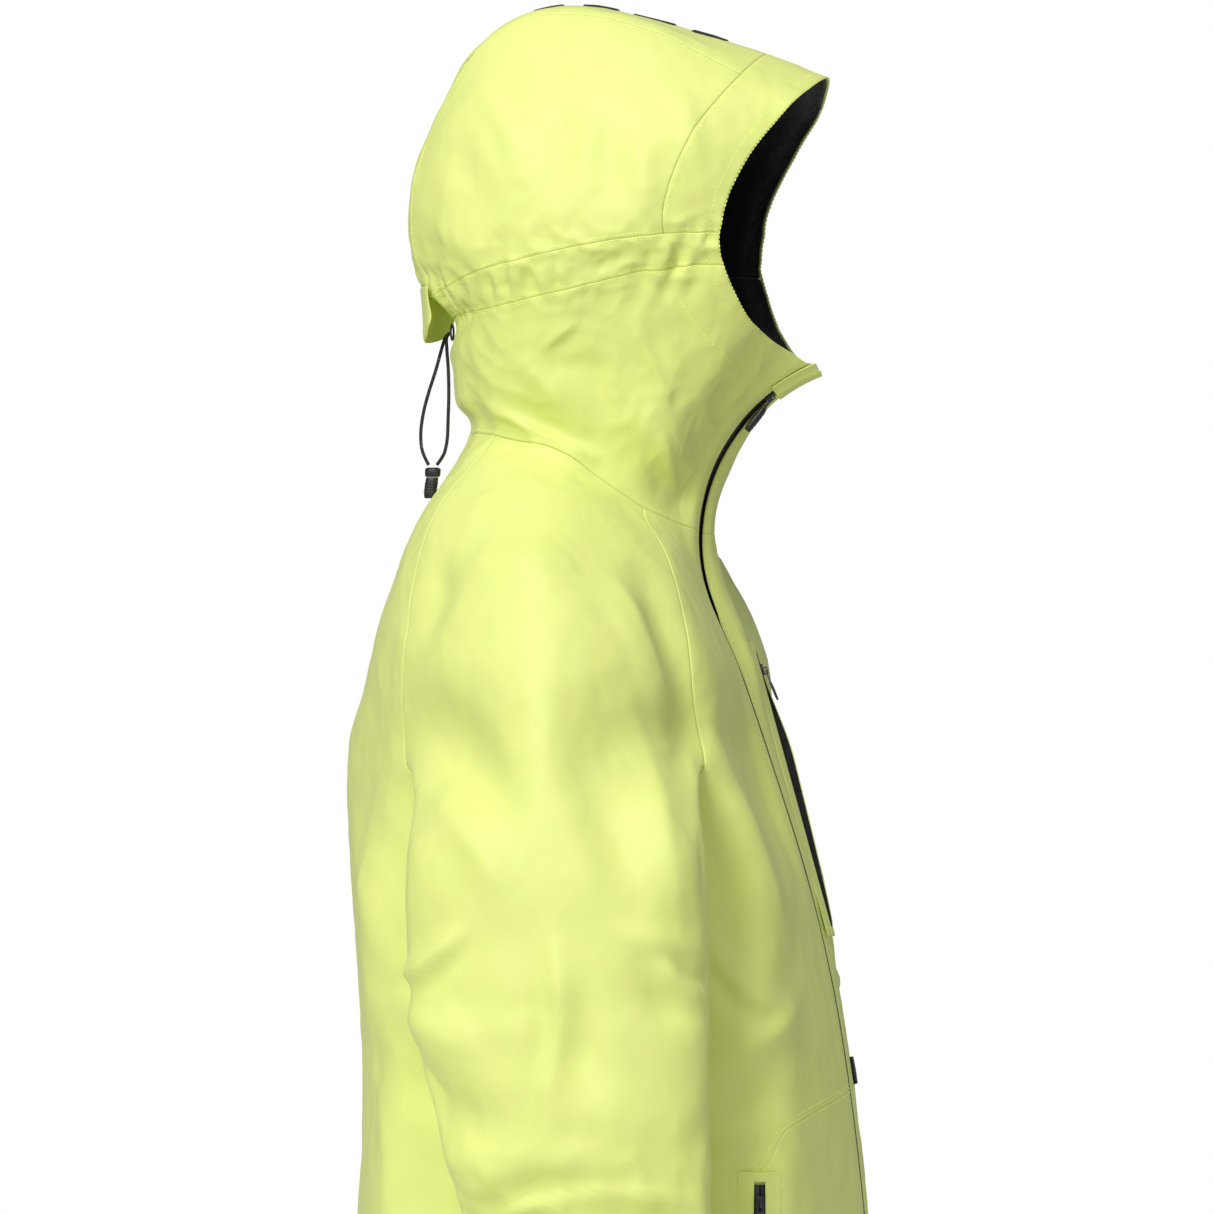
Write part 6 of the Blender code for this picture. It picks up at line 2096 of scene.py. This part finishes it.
def build_world():
    """White to the camera, dimmer to everything that it lights."""
    world = bpy.data.worlds.new("studio")
    world.use_nodes = True
    tree = world.node_tree
    dim = tree.nodes["Background"]
    white = tree.nodes.new("ShaderNodeBackground")
    for node, strength in ((dim, WORLD_FILL), (white, 1.0)):
        node.inputs["Color"].default_value = WHITE
        node.inputs["Strength"].default_value = strength
    path = tree.nodes.new("ShaderNodeLightPath")
    mix = tree.nodes.new("ShaderNodeMixShader")
    tree.links.new(path.outputs["Is Camera Ray"], mix.inputs["Fac"])
    tree.links.new(dim.outputs["Background"], mix.inputs[1])
    tree.links.new(white.outputs["Background"], mix.inputs[2])
    tree.links.new(mix.outputs["Shader"], tree.nodes["World Output"].inputs["Surface"])
    return world


def build_lamp(name, azimuth, elevation, size, power):
    lamp = bpy.data.lights.new(name, "AREA")
    lamp.shape = "DISK"
    lamp.size = size
    lamp.energy = power
    obj = linked(name, lamp)
    a, e = radians(azimuth), radians(elevation)
    away = Vector((sin(a) * cos(e), -cos(a) * cos(e), sin(e)))
    obj.location = VIEW_CENTRE + away * LAMP_DISTANCE
    obj.rotation_euler = (-away).to_track_quat("-Z", "Y").to_euler()


def build_floor():
    floor = bpy.data.meshes.new("floor")
    bm = bmesh.new()
    bmesh.ops.create_circle(bm, cap_ends=True, radius=FLOOR_RADIUS, segments=96)
    bm.to_mesh(floor)
    bm.free()
    ground = linked("floor", floor)
    ground.location = (0.0, 0.0, FLOOR_Z)
    ground.data.materials.append(Nodes("pale_floor", (0.86, 0.86, 0.85), 0.8).made)


# ---------------------------------------------------------------- garment
def soft_shell(cage):
    surface, pairs = cage_surface(cage)
    fitted = fitted_cage(surface)
    return finer(fitted, DRAPE_LEVEL, True), pairs


def displaced(surface, moves):
    return Surface(surface.points + moves, surface.quads, surface.marks, surface.corners)


def zip_centre():
    """Points down the middle of the front zip, close together."""
    return [place for place, _, _, _ in zip_line_frames()]


def zip_calm(surface):
    """0 at the front zip and at the cuffs, 1 away from them."""
    gap = line_gap(surface.points, zip_centre())
    calm = smooth_step((gap - 0.008) / 0.02)
    wrist = smooth_step((-0.58 - surface.points[:, 2]) / 0.05) * (np.abs(surface.points[:, 0]) > 0.21)
    return (calm * (1.0 - wrist))[:, None]


def dressed_cloth(cloth, lines):
    """Fold the cloth, close it over the zip and bring it up to the pockets' zips."""
    cloth = finer(buckled(cloth, *hold_and_growth(cloth)), FOLD_LEVEL, False)
    cloth = displaced(cloth, shoulder_moves(cloth))
    cloth = displaced(cloth, fold_moves(cloth))
    cloth = displaced(cloth, zip_ridge_moves(cloth))
    cloth = displaced(cloth, gather_moves(cloth))
    cloth = displaced(cloth, crinkle_moves(cloth) * zip_calm(cloth))
    cloth = displaced(cloth, pocket_moves(cloth, lines))
    return displaced(cloth, zip_closing(cloth))




def flat_size(surface, chosen):
    """Width, length and area of a panel before it was sewn, from its share of the plain cage."""
    quads = surface.quads[chosen]
    used = np.unique(quads)
    points = surface.points[used] - surface.points[used].mean(axis=0)
    _, _, axes = np.linalg.svd(points, full_matrices=False)
    spread = points @ axes.T
    width, length = sorted((np.ptp(spread[:, 0]), np.ptp(spread[:, 1])))
    a, b, c, d = [surface.points[quads[:, i]] for i in range(4)]
    area = float(np.linalg.norm(np.cross(c - a, d - b), axis=1).sum() / 2)
    longer = max(float(length), area / float(width))
    return (round(float(width), 3), round(longer, 3)), area


def build_shell(fine, pairs, looks):
    for name in sorted({p for p, _ in pairs}):
        wanted = [i for i, pair in enumerate(pairs) if pair[0] == name]
        chosen = np.isin(fine.marks, wanted)
        part, _ = cut_out(fine, chosen)
        obj = panel_mesh(name + "_cloth", part, SHELL_THICK)
        piece(obj, looks["shell"], "shell_fabric", name)
        flat, area = flat_size(fine, chosen)
        area = min(area, flat[0] * flat[1])


LINING_EDGE = 0.0019        # how far behind the shell's face the lining lies at its edges
LINING_DEEP = 0.0078
LINING_CALM = 40            # rounds that smooth the shell's creases out of the lining


def calmed(surface, rounds, share):
    """The surface smoothed by moving each point towards its neighbours' middle."""
    edges, _, _ = edge_table(surface)
    i, j = edges[:, 0], edges[:, 1]
    count = len(surface.points)
    valence = np.maximum(np.bincount(i, None, count) + np.bincount(j, None, count), 1)[:, None]
    points = surface.points.copy()
    for _ in range(rounds):
        total = gathered_sum(points[j], i, count) + gathered_sum(points[i], j, count)
        points += (total / valence - points) * 0.5 * share
    return Surface(points, surface.quads, surface.marks, surface.corners)


def build_lining(fine, pairs, looks):
    """The lining follows the shell from behind, right out to the hood's rim."""
    edge = open_edge_points(fine)
    is_edge = np.zeros(len(fine.points), bool)
    is_edge[edge] = True
    gap = line_gap(fine.points, fine.points[edge])
    free = smooth_step((gap - 0.003) / 0.014)[:, None]
    calm = calmed(fine, LINING_CALM, free)
    depth = LINING_EDGE + (LINING_DEEP - LINING_EDGE) * free
    inner = Surface(calm.points - calm.normals() * depth, fine.quads, fine.marks, fine.corners)
    for name in sorted({l for _, l in pairs if l}):
        wanted = [i for i, pair in enumerate(pairs) if pair[1] == name]
        part, used = cut_out(inner, np.isin(inner.marks, wanted))
        obj = panel_mesh(name + "_cloth", drawn_in(part, is_edge[used]), LAYER_THICK, rim=False)
        piece(obj, looks["lining"], "lining", name)


def drawn_in(part, edge=None):
    """The given edge points, or else all of the part's edges, drawn in a little."""
    if edge is None:
        edge = np.zeros(len(part.points), bool)
        edge[open_edge_points(part)] = True
    total = np.zeros_like(part.points)
    count = np.zeros(len(part.points))
    for i in range(4):
        a, b = part.quads[:, i], part.quads[:, (i + 1) % 4]
        for one, other in ((a, b), (b, a)):
            inside = edge[one] & ~edge[other]
            np.add.at(total, one[inside], part.points[other[inside]])
            np.add.at(count, one[inside], 1.0)
    points = part.points.copy()
    ready = count > 0
    points[ready] = points[ready] * 0.5 + total[ready] / count[ready][:, None] * 0.5
    return Surface(points, part.quads, part.marks, part.corners)


def build_hidden_layers(fine, pairs, looks):
    """The hem's facing and the brim's stiffener, just behind the shell."""
    normals = fine.normals()
    height = fine.points[fine.quads][:, :, 2]
    lined = [i for i, pair in enumerate(pairs) if pair[1] == "body_lining"]
    brim = [i for i, pair in enumerate(pairs) if pair[0] == "hood_brim"]
    low, high = height.max(axis=1) < HEM_Z + 0.030, height.min(axis=1) > BRIM_LOW + 0.008
    jobs = [("hem_facing", lined, low, 0.0014, 1, "facing", "facing"),
            ("brim_stiffener", brim, high, 0.0030, 2, "plastic", "stiffener")]
    for name, marks, rows, depth, rounds, look, slot in jobs:
        inner = Surface(fine.points - normals * depth, fine.quads, fine.marks, fine.corners)
        part, _ = cut_out(inner, np.isin(inner.marks, marks) & rows)
        for _ in range(rounds):
            part = drawn_in(part)
        obj = panel_mesh(name + "_layer", part, LAYER_THICK, rim=False)
        piece(obj, looks[look], slot, name)


# ---------------------------------------------------------------- stitching
CHIN_STITCH = [(0.0652, 0.1364), (0.0826, 0.1121), (0.1008, 0.0939), (0.1159, 0.0811),
               (0.1258, 0.0742)]
POCKET_SEAM = [(0.1970, -0.4515), (0.1606, -0.4644), (0.1417, -0.4735), (0.1295, -0.4947),
               (0.1212, -0.5038)]
POCKET_HEM = [(0.1174, -0.5045), (0.1417, -0.5167)]


def seen_line(skin, places, count, mirror=False):
    """A line drawn as (forward, height) from the wearer's right, laid on the cloth."""
    sign = -1.0 if mirror else 1.0
    direction = Vector((LOOK_SIDE.x * sign, LOOK_SIDE.y, 0.0))
    forward = Vector((ALONG_SIDE.x * sign, ALONG_SIDE.y, 0.0))
    keys = [forward * u + Vector((0.0, 0.0, z)) for u, z in places]
    return [skin.press(p, direction)[0] for p in even_curve(keys, count)]


CHIN_TOP = 0.112            # the face opening's stitches start above the zip's top
CHIN_PITCH = 0.0052
SEAM_STITCH = 0.0028        # how far a row of stitches runs from its seam or edge
FACE_STITCH = 0.0090
LIP_STITCH = 0.0088
HEM_STITCHES = (0.020, 0.0225)


def higher_part(line, low):
    """The stretch of a line that lies above a height, kept in order round the line."""
    count = len(line)
    starts = [i for i in range(count) if line[i].z > low and line[i - 1].z <= low]
    first = starts[0] if starts else 0
    turned = line[first:] + line[:first]
    return [p for p in turned if p.z > low]


def build_stitching(skin, fine, pairs, looks):
    rows = []
    for pair, line in seam_lines(fine, [panel for panel, _ in pairs]):
        both = " ".join(pair)
        if "sleeve" in both or "back_panel" in both and "front" in both:
            continue
        rows.append(beside_line(skin, line, SEAM_STITCH))
        if "cinch" in both:
            rows.append(beside_line(skin, line, -SEAM_STITCH))
    stitched("seam_stitching", skin, rows, looks["stitch"])
    edges = []
    for line in open_edge_lines(fine):
        if max(p.z for p in line) > 0.2:
            face = higher_part(line, CHIN_TOP)
            edges += [beside_line(skin, face, d) for d in (FACE_STITCH, -FACE_STITCH)]
        elif min(p.z for p in line) < HEM_Z + 0.01:
            hem = [p for p in line if p.z < HEM_Z + 0.004]
            edges += [[skin.nearest(p + Vector((0.0, 0.0, d)))[0] for p in hem[::2]]
                      for d in HEM_STITCHES]
    stitched("edge_stitching", skin, edges, looks["stitch"])
    lips = []
    for sign in (-1.0, 1.0):
        lips.append([skin.nearest(place + side * sign * LIP_STITCH)[0]
                     for place, side, _, _ in zip_line_frames()[14::3]])
    stitched("zip_stitching", skin, lips, looks["stitch"])
    chin = [seen_line(skin, CHIN_STITCH, 30, mirror) for mirror in (False, True)]
    stitched("chin_stitching", skin, chin, looks["stitch"], CHIN_PITCH)
    build_pocket_seams(skin, looks)


def build_pocket_seams(skin, looks):
    """The curved seam across the front above each hand pocket, and the pocket's top hem."""
    ridges, rows = [], []
    for mirror in (False, True):
        for places, count in ((POCKET_SEAM, 60), (POCKET_HEM, 24)):
            line = seen_line(skin, places, count, mirror)
            frames = skin.frames(line, 3)
            ridges.append(swept_mesh("seam", rounded_profile(0.0007, -0.0004, 0.00025, 0.0002), frames))
            for d in (0.0030, -0.0030):
                rows.append([skin.nearest(place + side * d)[0] for place, side, _, _ in frames[1:-1]])
    piece(softened("pocket_panel_seams", joined("seams", ridges), 60.0), looks["shell"],
          "shell_fabric")
    stitched("pocket_panel_stitching", skin, rows, looks["stitch"])


def main():
    build_stage()
    looks = make_looks()
    cage = build_cage()
    lines = pocket_lines(cage)
    cloth, pairs = soft_shell(cage)
    fine = dressed_cloth(cloth, lines)
    skin = Skin(fine)
    build_shell(fine, pairs, looks)
    build_lining(fine, pairs, looks)
    build_hidden_layers(fine, pairs, looks)
    build_front_zip(looks)
    build_pockets(skin, lines, looks)
    build_crown_bars(skin, looks)
    build_front_tab(skin, looks)
    build_hanger_loop(looks)
    build_rear_flap(skin, looks)
    build_cord(looks)
    build_cuffs(looks)
    build_stitching(skin, fine, pairs, looks)


main()
